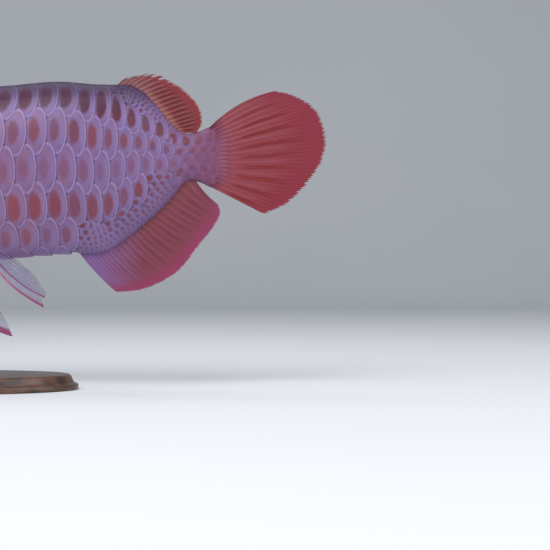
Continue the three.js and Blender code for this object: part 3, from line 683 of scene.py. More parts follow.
def eye_finish():
    """Black pupil, golden red ring and dark rim, by the distance from the eye's axis."""
    f = Finish("eye_gold", coat_weight=1.0, coat_roughness=0.02)
    place = f.place()
    x, _, z = f.split(place)
    across, up = x - EYE_X * MM, z - EYE_Z * MM
    radius = (across * across + up * up) ** 0.5 * 1000.0
    fibres = f.noise(place, 900.0, 3.0)
    gold = fibres.step(0.3, 0.7).blend(tone(196, 120, 60), tone(150, 52, 44))
    ring = radius.step(4.3, 4.6)
    colour = ring.blend(tone(6, 5, 8), gold)
    colour = (radius + fibres * 0.8).step(7.6, 9.0).blend(colour, tone(52, 26, 36))
    f.set("Metallic", ring * radius.step(8.5, 7.6) * 0.5)
    return f.made(colour, 0.18)


def barbel_finish():
    """A ringed feeler, deep red towards its tip."""
    f = Finish("barbel_red", coat_weight=0.3)
    place = f.place()
    x, _, _ = f.split(place)
    cloud = f.noise(place, 300.0, 3.0)
    colour = (x + cloud * 0.006).step(-0.18, -0.196).blend(tone(132, 60, 84), DEEP_RED)
    rings = (x * 5200.0).sine()
    return f.made(colour, 0.35, rings * 0.5 + cloud, 0.00012, 0.6)


def wood_finish():
    """Dark oiled walnut with its grain along X."""
    f = Finish("walnut_dark", coat_weight=0.35, coat_roughness=0.25)
    place = f.place()
    long_grain = f.noise(f.stretched(place, (1.0, 9.0, 9.0)), 16.0, 6.0, 0.6)
    pores = f.noise(f.stretched(place, (1.0, 24.0, 24.0)), 60.0, 3.0, 0.5)
    colour = long_grain.step(0.3, 0.7).blend(tone(44, 26, 18), tone(98, 62, 42))
    colour = (pores.step(0.58, 0.72) * 0.6).blend(colour, tone(24, 14, 10))
    return f.made(colour, pores * 0.25 + 0.28, pores * -1.0 + long_grain * 0.4, 0.0002, 0.5)


def steel_finish():
    """Steel brushed round the rod: noise stretched round Z."""
    f = Finish("brushed_steel", metallic=1.0)
    place = f.place()
    brushed = f.noise(f.stretched(place, (0.3, 0.3, 14.0)), 220.0, 4.0)
    colour = brushed.step(0.3, 0.7).blend(tone(150, 152, 156), tone(196, 198, 202))
    return f.made(colour, brushed * 0.22 + 0.2, brushed, 0.00004, 0.5)


def studio_finish():
    """The pale floor and wall, faintly clouded."""
    f = Finish("studio_pale")
    cloud = f.noise(f.place(), 1.2, 2.0)
    return f.made(cloud.blend(tone(222, 226, 230), tone(232, 234, 237)), 0.9)


# Hide and head


def way_to(line, x, z):
    """The distance in side view from places to a line of straight lengths."""
    nearest = np.full(np.shape(x), 1e9)
    for (ax, az), (bx, bz) in zip(line[:-1], line[1:]):
        dx, dz = bx - ax, bz - az
        t = np.clip(((x - ax) * dx + (z - az) * dz) / (dx * dx + dz * dz), 0, 1)
        nearest = np.minimum(nearest, np.hypot(x - ax - t * dx, z - az - t * dz))
    return nearest


def above_mouth(x, z):
    """1 above the mouth's line and -1 below it."""
    line = np.array(MOUTH_LINE)
    return np.sign(z - np.interp(x, line[:, 0], line[:, 1]))


def head_relief(x, z):
    """Lift of the head's features in mm, and the lip, bone and eye masks, at places in side view.

    Each feature is a bell or an eased edge over the distance to its line or middle: the mouth's
    crease, the two lips beside it, the upper jawbone's flat band, the grooves behind the jaw, between
    the cheek plates and under the throat, the orbit's rim with the socket inside it, the nostrils
    and the brow.
    """
    face = ease((-88 - x) / 8)
    to_mouth = way_to(MOUTH_LINE, x, z)
    corner = ease((-121 - x) / 9)
    side = above_mouth(x, z)
    lip = ridge_of(to_mouth - 2.3, 1.5) * np.where(side > 0, 1, 0.9) * (0.35 + 0.65 * corner)
    lift = 1.15 * lip - 1.7 * ridge_of(to_mouth, 0.75)
    jawbone = ease((6.8 - way_to(UPPER_JAWBONE, x, z)) / 1.6) * (side > 0)
    lift += 0.7 * jawbone
    lift -= 0.9 * ridge_of(way_to(JAW_HIND_LINE, x, z), 0.8)
    cheek = sum(ridge_of(way_to(line, x, z), 0.75) for line in CHEEK_LINES)
    lift -= 0.6 * np.clip(cheek, 0, 1)
    lift -= 0.55 * sum(ridge_of(way_to(line, x, z), 0.9) for line in GULAR_LINES)
    from_eye = np.hypot(x - EYE_X, z - EYE_Z)
    lift += 1.25 * ridge_of(from_eye - 11.6, 1.2) - 5.0 * ease((10.3 - from_eye) / 1.5)
    front = np.hypot(x - FRONT_NOSTRIL[0], z - FRONT_NOSTRIL[1])
    rear = np.hypot(x - REAR_NOSTRIL[0], z - REAR_NOSTRIL[1])
    lift += 1.3 * ridge_of(front, 1.7) - 1.8 * ridge_of(front, 0.7)
    lift += 0.8 * ridge_of(rear - 2.4, 0.8) - 1.9 * ridge_of(rear, 1.4)
    lift += 0.7 * ridge_of(way_to(BROW_LINE, x, z), 3.0)
    masks = np.stack([lip * corner, jawbone, ridge_of(from_eye - 11, 2.2)], -1)
    return lift * face, masks * face[..., None]


def surface_normals(grid):
    """Unit normals of a grid that wraps in its second direction, from its two central differences."""
    around = np.roll(grid, -1, axis=1) - np.roll(grid, 1, axis=1)
    return unit(np.cross(np.gradient(grid, axis=0), around))


def make_hide():
    """One skin from the snout to the tail fin's root: sections round the body, moved by the relief."""
    around = 320
    head = SNOUT_X + 0.25 + (HEAD_END_X - SNOUT_X) * (np.arange(150) / 149) ** 1.3
    body = np.linspace(HEAD_END_X, 257, 131)[1:]
    x = np.concatenate([head, body])[:, None]
    turn = full_turn(around)[None, :]
    grid = skin(x + 0 * turn, turn + 0 * x)
    lift, masks = head_relief(grid[..., 0], grid[..., 2])
    under_scales = -0.55 * ease((x - HEAD_END_X + 2) / 6) * ease((250 - x) / 10)
    grid = grid + surface_normals(grid) * (lift + under_scales)[..., None]
    tip = np.array([[SNOUT_X - 0.2, 0, 230.3]])
    end = np.array([[257.3, 0, 0.5 * (back_z(257) + belly_z(257))]])
    points = np.concatenate([grid.reshape(-1, 3), tip, end])
    masks = np.concatenate([masks.reshape(-1, 3), np.zeros((2, 3))])
    nodes = ("head", "lower_jaw", "trunk", "tail_stem")
    faces = closed_round(len(grid), around)
    dressed("hide", points, faces, skin_finish(), nodes, vectors={"relief": masks})


def make_gill_cover(name, mirrored, finish):
    """A bony plate over (across, along): its front sinks into the cheek, its hind rim is rounded.

    rise lifts it out of the cheek from its front and its two ends, swell arches it by a sine both
    ways, and groove is the seam that crosses its lower part.
    """
    across = np.linspace(0, 1, 64)[None, :]
    along = np.linspace(0, 1, 150)[:, None]
    turn = COVER_TURNS[0] + (COVER_TURNS[1] - COVER_TURNS[0]) * along + 0 * across
    x = cover_front(turn) + (cover_edge(turn) - cover_front(turn)) * across
    ends = ease(along / 0.08) * ease((1 - along) / 0.08)
    rise = ease(across / 0.16) * ends
    rim = np.sqrt(np.clip((1 - across) / 0.035, 0, 1))
    swell = 0.75 * np.sin(PI * across) * np.sin(PI * along)
    groove = -0.5 * ridge_of(along - 0.74 + 0.1 * across, 0.012) * ease(across / 0.2)
    upper = -1.0 + rise * (2.5 + swell + groove) + (rim - 1) * 0.55 * rise
    under = np.minimum(-1.4 + 1.95 * rise, upper - 0.35)
    side = 2 * PI - turn if mirrored else turn
    points, faces = closed_sheet(skin(x, side, upper), skin(x, side, under))
    tile = np.stack([across + 0 * turn, along + 0 * turn, 0 * turn], -1).reshape(-1, 3)
    vectors = {"tile": np.concatenate([tile, tile])}
    dressed(f"{name}_plate", points, faces, finish, (name,), vectors=vectors)


def make_eye(name, side, finish):
    """A flattened ball: cos and sin of latitude and longitude, stretched along the skin's outside."""
    latitude = np.linspace(-PI / 2, PI / 2, 41)[1:-1, None]
    longitude = full_turn(64)[None, :]
    out = outward(np.array(EYE_X), np.array(EYE_Z), side)
    aside = unit(np.cross(out, [0.0, 0.0, 1.0]))
    up = np.cross(aside, out)
    centre = on_side(np.array(EYE_X), np.array(EYE_Z), side, -EYE_SUNK)
    ring = np.cos(latitude) * EYE_RADIUS
    grid = centre + (ring * np.cos(longitude))[..., None] * aside
    grid = grid + (ring * np.sin(longitude))[..., None] * up
    grid = grid + (np.sin(latitude) * EYE_DEPTH + 0 * longitude)[..., None] * out
    points = np.concatenate([grid.reshape(-1, 3), [centre - out * EYE_DEPTH, centre + out * EYE_DEPTH]])
    dressed(f"{name}_ball", points, closed_round(*grid.shape[:2]), finish, (name,))


def make_barbel(name, side, finish):
    """A feeler: a strand thinning along its way, with a slight swelling near its root."""
    places = [(-168, 3.6 * side, 222.5), (-176, 5.5 * side, 224), (-186, 8.5 * side, 228.5),
              (-195, 12 * side, 235.5), (-202, 15 * side, 244)]
    path = smooth_path(places, 60)
    t = np.linspace(0, 1, 60)
    radius = 1.9 - 1.45 * t + 0.5 * ridge_of(t - 0.22, 0.12)
    points, faces = tube(path, radius, 18)
    dressed(f"{name}_feeler", points, faces, finish, (name,))


# Scales


def scale_share(x, row):
    """How much of their step scales keep: little under the gill covers, less along the fins' roots."""
    from_back = np.minimum(np.abs(row), SCALE_ROWS - np.abs(row))
    turn = row_turn(x, from_back)
    share = 0.12 + 0.88 * ease((x - cover_edge(turn) - 1) / 4)
    share = share * (0.15 + 0.85 * ease(from_back / 1.6))
    fins_above = np.where((x > 148) & (x < 226), ease(from_back / 1.2), 1)
    fins_below = np.where((x > 108) & (x < 226), ease((SCALE_ROWS / 2 - from_back) / 1.2), 1)
    return share * (0.25 + 0.75 * fins_above * fins_below) * (1 - 0.45 * ease((x - 150) / 90))


def plate_outline(rings, sides):
    """Places on one scale as (columns back, rows down): an ellipse, drawn longer at its hidden front."""
    radius = np.concatenate([np.linspace(0, 0.88, rings - 2)[1:], [0.94, SCALE_RIM, 1.0]])
    angle = full_turn(sides)
    back = radius[:, None] * np.cos(angle)[None]
    back = np.where(back < 0, back * SCALE_TUCK, back)
    down = radius[:, None] * np.sin(angle)[None] * SCALE_HALF_HEIGHT
    return radius, back, down


def plates(base, outline, crown):
    """Points, faces and in-plate places of many plates at once.

    base maps (back, down, lift, drop) to points for every plate. lift is (back + 1) / 2, so that it
    reaches 1 at the hind rim, plus crown (1 - radius^2). drop is 0 on top, RIM_DROP along the rim and
    1 below. Each plate is a middle point, rings out to its rim, a ring under the rim and a middle
    point below.
    """
    radius, back, down = outline
    rings, sides = back.shape
    flat_back = np.concatenate([[0], back.ravel(), back[-1] * SCALE_RIM, [0]])
    flat_down = np.concatenate([[0], down.ravel(), down[-1] * SCALE_RIM, [0]])
    edge = np.concatenate([[0], np.repeat(radius, sides), np.ones(sides), [0]])
    drop = np.where(edge >= SCALE_RIM, RIM_DROP, 0)
    drop[-sides - 1:] = 1.0
    points = base(flat_back, flat_down, (flat_back + 1) / 2 + crown * (1 - edge**2), drop)
    count = points.shape[1]
    first = np.arange(sides) + 1
    last = first + rings * sides
    one = [grid_faces(rings + 1, sides, True) + 1, fan_faces(0, first), fan_faces(count - 1, last[::-1])]
    offsets = (np.arange(len(points)) * count)[:, None, None]
    faces = [(group[None] + offsets).reshape(-1, group.shape[1]) for group in one]
    return points, faces, flat_back, flat_down


def dress_scales(name, made, finish, chance, mood, unwrap):
    """One piece of many plates, with the values that scale_finish reads and the map for a bake."""
    points, faces, back, down = made
    tile = np.stack(np.broadcast_arrays(back[None], down[None], chance[:, None]), -1)
    mood = np.repeat(mood[:, None], points.shape[1], axis=1)
    vectors = {"tile": tile.reshape(-1, 3), "mood": mood.reshape(-1, 3)}
    uv = np.stack(unwrap(back[None], down[None]), -1).reshape(-1, 2)
    dressed(name, points.reshape(-1, 3), faces, finish, vectors=vectors, uv=uv)


def scale_places(left):
    """Columns and rows of the large scales of one side, the ones on the midlines going to the right.

    Scales hidden by a gill cover and those whose place small scales take are left out.
    """
    columns, rows = [], []
    span = range(-SCALE_ROWS // 2 + 1, 0) if left else range(0, SCALE_ROWS // 2 + 1)
    for row in span:
        for column in range(1, LAST_COLUMN + 1):
            if (column + row) % 2 == 0:
                continue
            x = float(column_x(column))
            turn = row_turn(np.array(x), np.array(abs(row)))
            z = float(on_section(x, turn)[1])
            on_midline = row in (0, SCALE_ROWS // 2)
            small = any(
                way_to(line, x, z) < band and spans[on_midline][0] < x < spans[on_midline][1]
                for line, band, spans in SMALL_SCALE_BANDS
            )
            hidden = column_x(column + 1) < cover_edge(turn) - 3
            if not (small or hidden):
                columns.append(column)
                rows.append(row)
    return np.array(columns, float), np.array(rows, float)


def under_large_scales(x, z):
    """Whether places in side view lie inside a large scale: its ellipse's value is below COVERED."""
    columns, rows = scale_places(True)
    x_scale = column_x(columns)
    reach = column_x(columns + 1) - x_scale
    z_above, z_scale, z_below = [
        on_section(x_scale, row_turn(x_scale, np.abs(rows) + step * SCALE_HALF_HEIGHT))[1]
        for step in (-1, 0, 1)
    ]
    aside = (z[:, None] - z_scale) / np.maximum((z_above - z_below) / 2, 1)
    along = (x[:, None] - x_scale) / reach
    return (along**2 + aside**2 < COVERED).any(axis=1)


def make_scales(name, left, finish):
    """The large scales of one side, tilted so that each hind rim lies over the scales behind it.

    A scale lies 0.1 mm off the skin, up to SCALE_STEP more at its hind rim, and is up to
    SCALE_THICKNESS thick; where scale_share is small it is flatter and thinner.
    """
    columns, rows = scale_places(left)
    chance = np.random.default_rng(SEED + left).random((3, len(rows)))

    def base(back, down, lift, drop):
        column = columns[:, None] + back[None]
        row = rows[:, None] + down[None]
        x = column_x(column)
        share = scale_share(column_x(columns), rows)[:, None]
        height = 0.1 + lift[None] * SCALE_STEP * share * (0.92 + 0.16 * chance[1][:, None])
        height = height - drop[None] * SCALE_THICKNESS * (0.3 + 0.7 * share)
        return skin(x, row_turn(x, row), height)

    def unwrap(back, down):
        """Each patch at its place on the skin unrolled along and round the body; patches stay apart."""
        u = (columns[:, None] + 0.82 * back + 2) / (LAST_COLUMN + 5)
        v = (rows[:, None] + 0.7 * down + SCALE_ROWS / 2 + 1) / (SCALE_ROWS + 2)
        u[:, -1] = (columns + 0.9) / (LAST_COLUMN + 5)
        return u, v

    made = plates(base, plate_outline(9, 36), 0.16)
    dress_scales(name, made, finish, chance[0], scale_moods(columns, np.abs(rows), chance[2]), unwrap)


def scale_moods(columns, rows, chance):
    """Strength and size of the dark heart and the pinkness, by column, row and each scale's chance."""
    x = column_x(columns)
    strong, large, pink = [np.array(v)[rows.astype(int)] for v in (HEART_STRENGTH, HEART_SIZE, PINKNESS)]
    large = large * (1 - 0.12 * ease((x - 120) / 80))
    pink = pink * (1.25 - ease((x - 20) / 110)) * (0.5 + chance)
    fade = 1 - 0.3 * ease((x - 205) / 30)
    strong = strong * (0.72 + 0.45 * chance) * fade
    return np.stack([strong, large * (0.92 + 0.16 * chance), pink], -1)


def make_small_scales(name, line, outwards, count, tiers, size, finish):
    """Tiers of small scales along a fin's root, on both sides, growing away from it.

    line is the root in side view; outwards is +1 where the body lies above it and -1 below. The
    first tier has count scales of half length size. Tier k lies at its way out, square to the root,
    and its scales and the spacing between them are 1 + TIER_GROWTH k times as long.
    """
    path = np.array(line, float)
    length = np.concatenate([[0], np.cumsum(np.hypot(*np.diff(path, axis=0).T))])
    tier, share = [], []
    for k in range(tiers):
        number = round(count / (1 + TIER_GROWTH * k))
        tier.append(np.full(number, float(k)))
        share.append((np.arange(number) + 0.5 * (k % 2)) / number)
    tier, share = np.tile(np.concatenate(tier), 2), np.tile(np.concatenate(share), 2)
    side = np.repeat([-1.0, 1.0], len(tier) // 2)
    way = share * length[-1]
    before, on, after = [
        np.stack([np.interp(way + step * TIER_HALF_SPAN, length, path[:, k]) for k in (0, 1)])
        for step in (-1, 0, 1)
    ]
    ahead, rise = (after - before) / np.maximum(np.hypot(*(after - before)), 1e-6)
    out = (TIER_FIRST + TIER_STEP * tier + TIER_BEND * tier**2) * outwards
    x0, z0 = on[0] - rise * out, on[1] + ahead * out
    shown = ~under_large_scales(x0, z0)
    tier, share, side, x0, z0, ahead, rise = [v[shown] for v in (tier, share, side, x0, z0, ahead, rise)]
    chance = np.random.default_rng(SEED + count).random(len(tier))
    grown = size * (1 + TIER_GROWTH * tier)[:, None]

    def base(back, down, lift, drop):
        along = back[None] * grown
        aside = side[:, None] * down[None] / SCALE_HALF_HEIGHT * grown * SMALL_SCALE_BREADTH
        x = x0[:, None] + along * ahead[:, None] - aside * rise[:, None]
        z = z0[:, None] + along * rise[:, None] + aside * ahead[:, None]
        z = np.clip(z, belly_z(x) + 0.25, back_z(x) - 0.25)
        height = 0.1 + 0.1 * tier[:, None] + (0.6 + 0.1 * tier[:, None]) * lift[None] - 0.35 * drop[None]
        return on_side(x, z, side[:, None], height)

    def unwrap(back, down):
        """Each patch at its place along the root, in a strip of its own for every tier and side."""
        u = 0.02 + 0.95 * share[:, None] + back * 0.35 / (count + 1)
        v = (tier[:, None] + 0.5 + tiers * (side[:, None] > 0) + down * 0.6) / (2 * tiers)
        return u, v

    mood = np.stack([0.18 + 0.16 * tier + 0.1 * chance, 0.8 + 0.05 * tier, 0.1 * chance], -1)
    dress_scales(name, plates(base, plate_outline(5, 16), 0.1), finish, chance, mood, unwrap)


# Fins

# Roots and tips: share of the way from the leading ray to the last, x, z
DORSAL_TIP = [(0, 166, 288), (0.14, 183, 290.4), (0.34, 205, 281.6), (0.56, 221, 269.8),
              (0.78, 230.3, 254.8), (0.9, 231, 246), (1, 226.3, 236.4)]
ANAL_TIP = [(0, 152.7, 89.6), (0.15, 168.4, 90.5), (0.3, 184, 94.6), (0.5, 207.9, 108),
            (0.7, 230, 134.6), (0.85, 243.2, 152.1), (0.95, 248.4, 163.6), (1, 246.4, 170.5)]
CAUDAL_ROOT = [(0, 241, 243.6), (0.25, 241.5, 229.4), (0.5, 242, 214.6), (0.75, 241.5, 200),
               (1, 241, 185.9)]
CAUDAL_TIP = [(0, 299.2, 276), (0.1, 314.5, 272.4), (0.2, 328.2, 265.6), (0.3, 338, 256.2),
              (0.4, 343.2, 242.3), (0.5, 345.9, 227.6), (0.6, 342.2, 212.8), (0.7, 334, 198.1),
              (0.8, 322, 183.4), (0.9, 307.3, 170.5), (1, 288, 162.2)]
RAY, WEB = (1.2, 0.35), (0.5, 0.16)  # half thickness at the root and at the tip


def flat(line):
    """A line in side view laid in the fish's middle plane."""
    return [(s, x, 0, z) for s, x, z in line]


def pelvic_lines(side):
    """Root and tip of a pelvic fin; the right one is held a little closer to the belly."""
    tuck = 4 if side > 0 else 0
    root = [(0, 35, 12 * side, 125), (1, 52, 10 * side, 124)]
    tip = [(0, 90.2 - 2 * tuck, 25 * side, 75.8 + 2 * tuck), (0.25, 88.3 - tuck, 26 * side, 84 + tuck),
           (0.5, 85 - tuck, 25 * side, 92.5), (0.75, 80.5 - tuck, 22 * side, 101),
           (1, 74 - tuck, 17 * side, 109)]
    return root, tip


def pectoral_lines(side):
    """Root and tip of a pectoral fin, spread down and out."""
    root = [(0, -70, 19.5 * side, 144), (1, -62, 24.5 * side, 152)]
    tip = [(0, 47.8, 50 * side, 46.3), (0.15, 43, 51.5 * side, 58), (0.35, 31, 52 * side, 77),
           (0.6, 10, 50 * side, 101), (0.8, -6, 46.5 * side, 119), (1, -22, 43 * side, 135)]
    return root, tip


def sail(root, tip, bow, belly=None):
    """A fin's middle sheet at (s, t): straight rays from root to tip, arched and bulged.

    They are arched square to themselves in side view by 4t(1-t) bow(s) and bulged along Y by
    belly(s, t). s goes from the leading ray to the last and t from the root to the tip.
    """
    lines = [[through([(p[0], p[k]) for p in line]) for k in (1, 2, 3)] for line in (root, tip)]

    def at(s, t):
        start, end = [np.stack([f(s) for f in line], -1) for line in lines]
        ray = end - start
        square = unit(np.stack([-ray[..., 2], 0 * s, ray[..., 0]], -1))
        place = start + ray * t[..., None] + square * (4 * t * (1 - t) * bow(s))[..., None]
        if belly:
            place[..., 1] += belly(s, t)
        return place

    return at


def ray_height(s, t, rays, single):
    """1 on a ray and 0 on the web.

    Each ray parts in two past a third of its length, and again near the margin: the distance to the
    ray is folded at the branches' own distances. Of the rays before s = single the ones further
    forward part less, and the first not at all.
    """
    parted = ease(s / single) if single else 1
    off = np.abs(np.mod(s * (rays - 1) + 0.5, 1) - 0.5)
    first = 0.24 * parted * ease((t - 0.34) / 0.5)
    second = 0.11 * parted * ease((t - 0.66) / 0.34)
    off = np.abs(np.abs(off - first) - second)
    width = 0.2 - 0.115 * ease((t - 0.1) / 0.8)
    return ridge_of(off, width)


def make_fin(name, at, rays, half_ray, half_web, tooth, sunk, finish, rows=72, fine=13, swollen=0.0,
             frayed=0.0, single=0.0):
    """A rayed fin: the sheet moved to both sides by the ray's or the web's half thickness.

    half_ray and half_web are half thicknesses at the root and at the tip; swollen mm come on top at
    the root. The sheet starts sunk mm inside the body and is waved slightly towards its margin. There
    the rays stand out 1.6 tooth mm beyond the web, with random nicks, and 1 + frayed (1 - s)^2 times
    as far. The leading ray is a third thicker. fine is the columns of points from ray to ray.
    """
    columns = (rays - 1) * fine + 1
    s = np.linspace(0, 1, columns)[None, :]
    k = np.linspace(0, 1, rows)[:, None]
    one = np.ones_like(s)
    length = np.linalg.norm(at(s, one) - at(s, 0 * one), axis=-1)
    rng = np.random.default_rng(SEED + rays)
    nick = np.interp(s, np.linspace(0, 1, rays * 3), rng.random(rays * 3))
    tooth = tooth * (1 + frayed * (1 - s) ** 2)
    reach = 1 + tooth * (1.6 * ray_height(s, one, rays, single) - 1 + 0.7 * (nick - 0.5)) / length
    start = -sunk / length
    t = start + (reach - start) * k
    s = s + 0 * t
    sheet = at(s, t)
    normal = unit(np.cross(np.gradient(sheet, axis=1), np.gradient(sheet, axis=0)))
    height = ray_height(s, t, rays, single)
    grown = np.clip(t, 0, 1)
    ray = half_ray[0] + (half_ray[1] - half_ray[0]) * grown
    web = half_web[0] + (half_web[1] - half_web[0]) * grown
    half = web + (ray - web) * height + swollen * (0.35 + 0.65 * height) * ease(1 - t / 0.22)
    lead = ridge_of(s * (rays - 1), 0.35) * 0.35 * (1 - 0.6 * grown)
    wave = 0.35 * grown * np.sin(s * (rays - 1) * 0.9 + 3 * t)
    sheet = sheet + normal * wave[..., None]
    offset = normal * (half * (1 + lead))[..., None]
    points, faces = closed_sheet(sheet + offset, sheet - offset)
    ray_values = np.stack([s, t, height], -1).reshape(-1, 3)
    vectors = {"ray": np.concatenate([ray_values, ray_values])}
    dressed(f"{name}_rayed", points, faces, finish, (name,), vectors=vectors)


def make_odd_fins():
    """The dorsal, anal and caudal fins, in the fish's middle plane."""
    dorsal = fin_finish(
        "dorsal_red", TAN, tone(122, 44, 48), DEEP_RED, tone(88, 8, 20),
        stripes=18, fine=0.6, front=tone(126, 76, 80),
    )
    anal = fin_finish(
        "anal_red", tone(114, 50, 62), tone(116, 48, 64), MAGENTA, tone(90, 28, 44),
        stripes=12.5, dark=0.35, fine=0.2, edge=0.62, front=tone(122, 84, 138),
    )
    caudal = fin_finish(
        "caudal_red", tone(120, 50, 72), DUSTY_ROSE, tone(124, 24, 46), CRIMSON,
        stripes=9.5, fine=0.22, edge=0.46,
    )
    at = sail(flat(DORSAL_ROOT), flat(DORSAL_TIP), lambda s: 1.5 * (1 - s))
    make_fin("dorsal_fin", at, 19, RAY, WEB, 1.3, 5, dorsal, rows=56, frayed=3.2, single=0.4)
    at = sail(flat(ANAL_ROOT), flat(ANAL_TIP), lambda s: -1.5)
    make_fin("anal_fin", at, 26, RAY, WEB, 1.3, 5, anal)
    at = sail(flat(CAUDAL_ROOT), flat(CAUDAL_TIP), lambda s: 5 * (1 - s) ** 3)
    ray, web = (1.5, 0.38), (1.1, 0.16)
    make_fin("caudal_fin", at, 19, ray, web, 2.1, 3, caudal, rows=84, fine=17, swollen=1.6)


def make_paired_fins(word, side, finish):
    """The pelvic and the pectoral fin of one side, each bulged outwards."""

    def bulge(most, fall):
        """most sin^2(pi t) (1 - fall s), outwards."""
        return lambda s, t: most * side * np.sin(PI * np.clip(t, 0, 1)) ** 2 * (1 - fall * s)

    at = sail(*pelvic_lines(side), lambda s: -5 * (1 - s), bulge(4, 0))
    make_fin(f"pelvic_fin_{word}", at, 6, RAY, WEB, 0.8, 6, finish, rows=64, fine=24)
    at = sail(*pectoral_lines(side), lambda s: -15 * (1 - s) ** 1.5, bulge(9, 0.6))
    make_fin(f"pectoral_fin_{word}", at, 8, (1.7, 0.4), WEB, 0.8, 6, finish, rows=90, fine=22)


# Stand

BASE_HALF_LENGTH, BASE_HALF_BREADTH, BASE_HEIGHT = 118, 62, 14
ROD_RADIUS, ROD_COLLAR, ROD_SADDLE, ROD_FLARE = 4.5, 11, 9.5, 14
CORNER_STEPS = 5


def turned(profile, stretch=(1, 1), sides=128):
    """A profile of (radius, height) turned round Z and stretched, closed at both ends."""
    profile = np.array(profile, float)
    angle = full_turn(sides)
    x = profile[:, :1] * np.cos(angle) * stretch[0]
    y = profile[:, :1] * np.sin(angle) * stretch[1]
    grid = np.stack([x, y, profile[:, 1:] + 0 * x], -1)
    ends = [[0, 0, profile[0, 1]], [0, 0, profile[-1, 1]]]
    return np.concatenate([grid.reshape(-1, 3), ends]), closed_round(len(profile), sides)


def rounded(profile, reach=0.9):
    """A profile with each inner corner replaced by a quadratic curve that starts reach before it."""
    profile = np.array(profile, float)
    out = [profile[0]]
    for before, corner, after in zip(profile[:-2], profile[1:-1], profile[2:]):
        back, ahead = before - corner, after - corner
        limit = min(reach, 0.45 * np.linalg.norm(back), 0.45 * np.linalg.norm(ahead))
        start = corner + back / np.linalg.norm(back) * limit
        end = corner + ahead / np.linalg.norm(ahead) * limit
        for t in np.linspace(0, 1, CORNER_STEPS):
            out.append((1 - t) ** 2 * start + 2 * t * (1 - t) * corner + t * t * end)
    return [*out, profile[-1]]


def make_stand():
    """An oval walnut base, stepped at its rim, and a rod that flares into a saddle under the belly."""
    breadth = BASE_HALF_BREADTH
    base = [(0.5, 0), (0.985 * breadth, 0), (breadth, 1.2), (breadth, 5), (0.965 * breadth, 6.5),
            (0.94 * breadth, BASE_HEIGHT - 1), (0.925 * breadth, BASE_HEIGHT), (0.5, BASE_HEIGHT)]
    points, faces = turned(rounded(base), (BASE_HALF_LENGTH / breadth, 1))
    dressed("stand_base_walnut", points, faces, wood_finish(), ("stand_base",), swing=False)
    foot, belly = BASE_HEIGHT, float(belly_z(0))
    rod = [(0.5, foot), (ROD_COLLAR, foot), (ROD_COLLAR, foot + 3.5), (ROD_COLLAR - 2, foot + 5),
           (ROD_RADIUS + 1, foot + 6), (ROD_RADIUS, foot + 9), (ROD_RADIUS, belly - ROD_FLARE),
           (ROD_RADIUS + 1.2, belly - 0.5 * ROD_FLARE), (ROD_SADDLE, belly - 1.2),
           (ROD_SADDLE, belly + 1.5), (0.5, belly + 1.5)]
    points, faces = turned(rounded(rod, reach=0.8), sides=72)
    dressed("stand_rod_steel", points, faces, steel_finish(), ("stand_rod",), swing=False)


# Studio


def make_floor():
    """A pale floor that bends up into a wall: a straight length, a quarter circle, a straight length."""
    depth, radius, height, half = 3.2, 1.2, 9.0, 14.0
    bend = np.linspace(0, PI / 2, 24)
    y = np.concatenate([[-12.0], depth + radius * np.sin(bend), [depth + radius]])
    z = np.concatenate([[0.0], radius * (1 - np.cos(bend)), [height]])
    x = np.array([-half, half])
    grid = np.stack(np.broadcast_arrays(x[None, :], y[:, None], z[:, None]), -1)
    mesh = bpy.data.meshes.new("studio_floor")
    mesh.from_pydata(grid.reshape(-1, 3).tolist(), [], grid_faces(len(y), 2)[:, ::-1].tolist())
    mesh.polygons.foreach_set("use_smooth", np.ones(len(mesh.polygons), bool))
    mesh.materials.append(studio_finish())
    floor = bpy.data.objects.new("studio_floor", mesh)
    bpy.context.scene.collection.objects.link(floor)


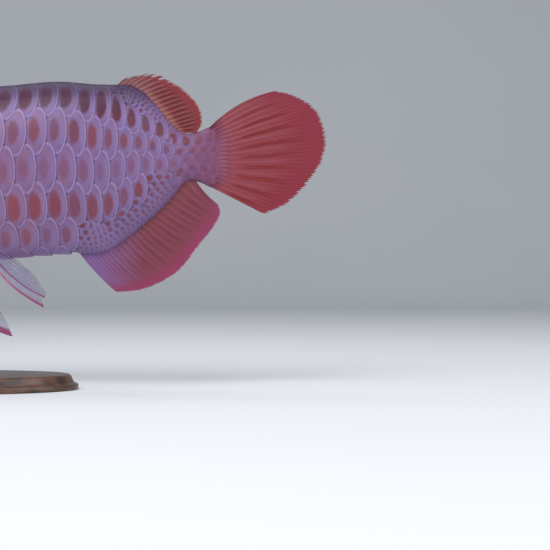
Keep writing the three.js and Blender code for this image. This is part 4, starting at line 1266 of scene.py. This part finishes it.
def add_light(name, place, target, size, power):
    """A square area light at place, turned to face target."""
    lamp = bpy.data.lights.new(name, "AREA")
    lamp.energy, lamp.size = power, size
    light = bpy.data.objects.new(name, lamp)
    way = Vector(target) - Vector(place)
    light.location = place
    light.rotation_euler = way.to_track_quat("-Z", "Y").to_euler()
    bpy.context.scene.collection.objects.link(light)


def make_studio():
    """Floor, three soft lights and a pale world."""
    make_floor()
    middle = (0.1, 0.0, 0.2)
    add_light("key", (-0.5, -1.6, 1.9), middle, 1.6, 40)
    add_light("fill", (1.7, -1.5, 0.8), middle, 1.6, 20)
    add_light("top", (0.1, 0.3, 2.0), middle, 1.6, 12)
    world = bpy.data.worlds.new("studio")
    world.use_nodes = True
    world.node_tree.nodes["Background"].inputs[0].default_value = (0.9, 0.93, 1.0, 1)
    world.node_tree.nodes["Background"].inputs[1].default_value = 0.36
    bpy.context.scene.world = world
    bpy.context.scene.view_settings.view_transform = "Standard"


def make_camera():
    """Level and side on: the photo's frame is 506 mm wide at the fish, centred on its hind half."""
    lens = bpy.data.cameras.new("camera")
    lens.lens, lens.sensor_width = 90, 36
    camera = bpy.data.objects.new("camera", lens)
    frame_width, centre_x, centre_z = 0.506, 0.299, 0.1052
    camera.location = (centre_x, -frame_width * lens.lens / lens.sensor_width, centre_z)
    camera.rotation_euler = (PI / 2, 0, 0)
    bpy.context.scene.collection.objects.link(camera)
    bpy.context.scene.camera = camera


make_camera()
make_studio()
make_hide()
cover, eye, barbel, scale, paired = [
    make() for make in (cover_finish, eye_finish, barbel_finish, scale_finish, clear_fin_finish)
]
SIDES = (("left", -1), ("right", 1))
for word, side in SIDES:
    make_gill_cover(f"gill_cover_{word}", side < 0, cover)
    make_eye(f"eye_{word}", side, eye)
    make_barbel(f"barbel_{word}", side, barbel)
    make_scales(f"scales_{word}", side < 0, scale)
make_small_scales("scales_anal_root", ANAL_SHEATH, 1, 29, 6, 2.3, scale)
make_small_scales("scales_dorsal_root", DORSAL_SHEATH, -1, 20, 4, 2.2, scale)
make_odd_fins()
for word, side in SIDES:
    make_paired_fins(word, side, paired)
make_stand()

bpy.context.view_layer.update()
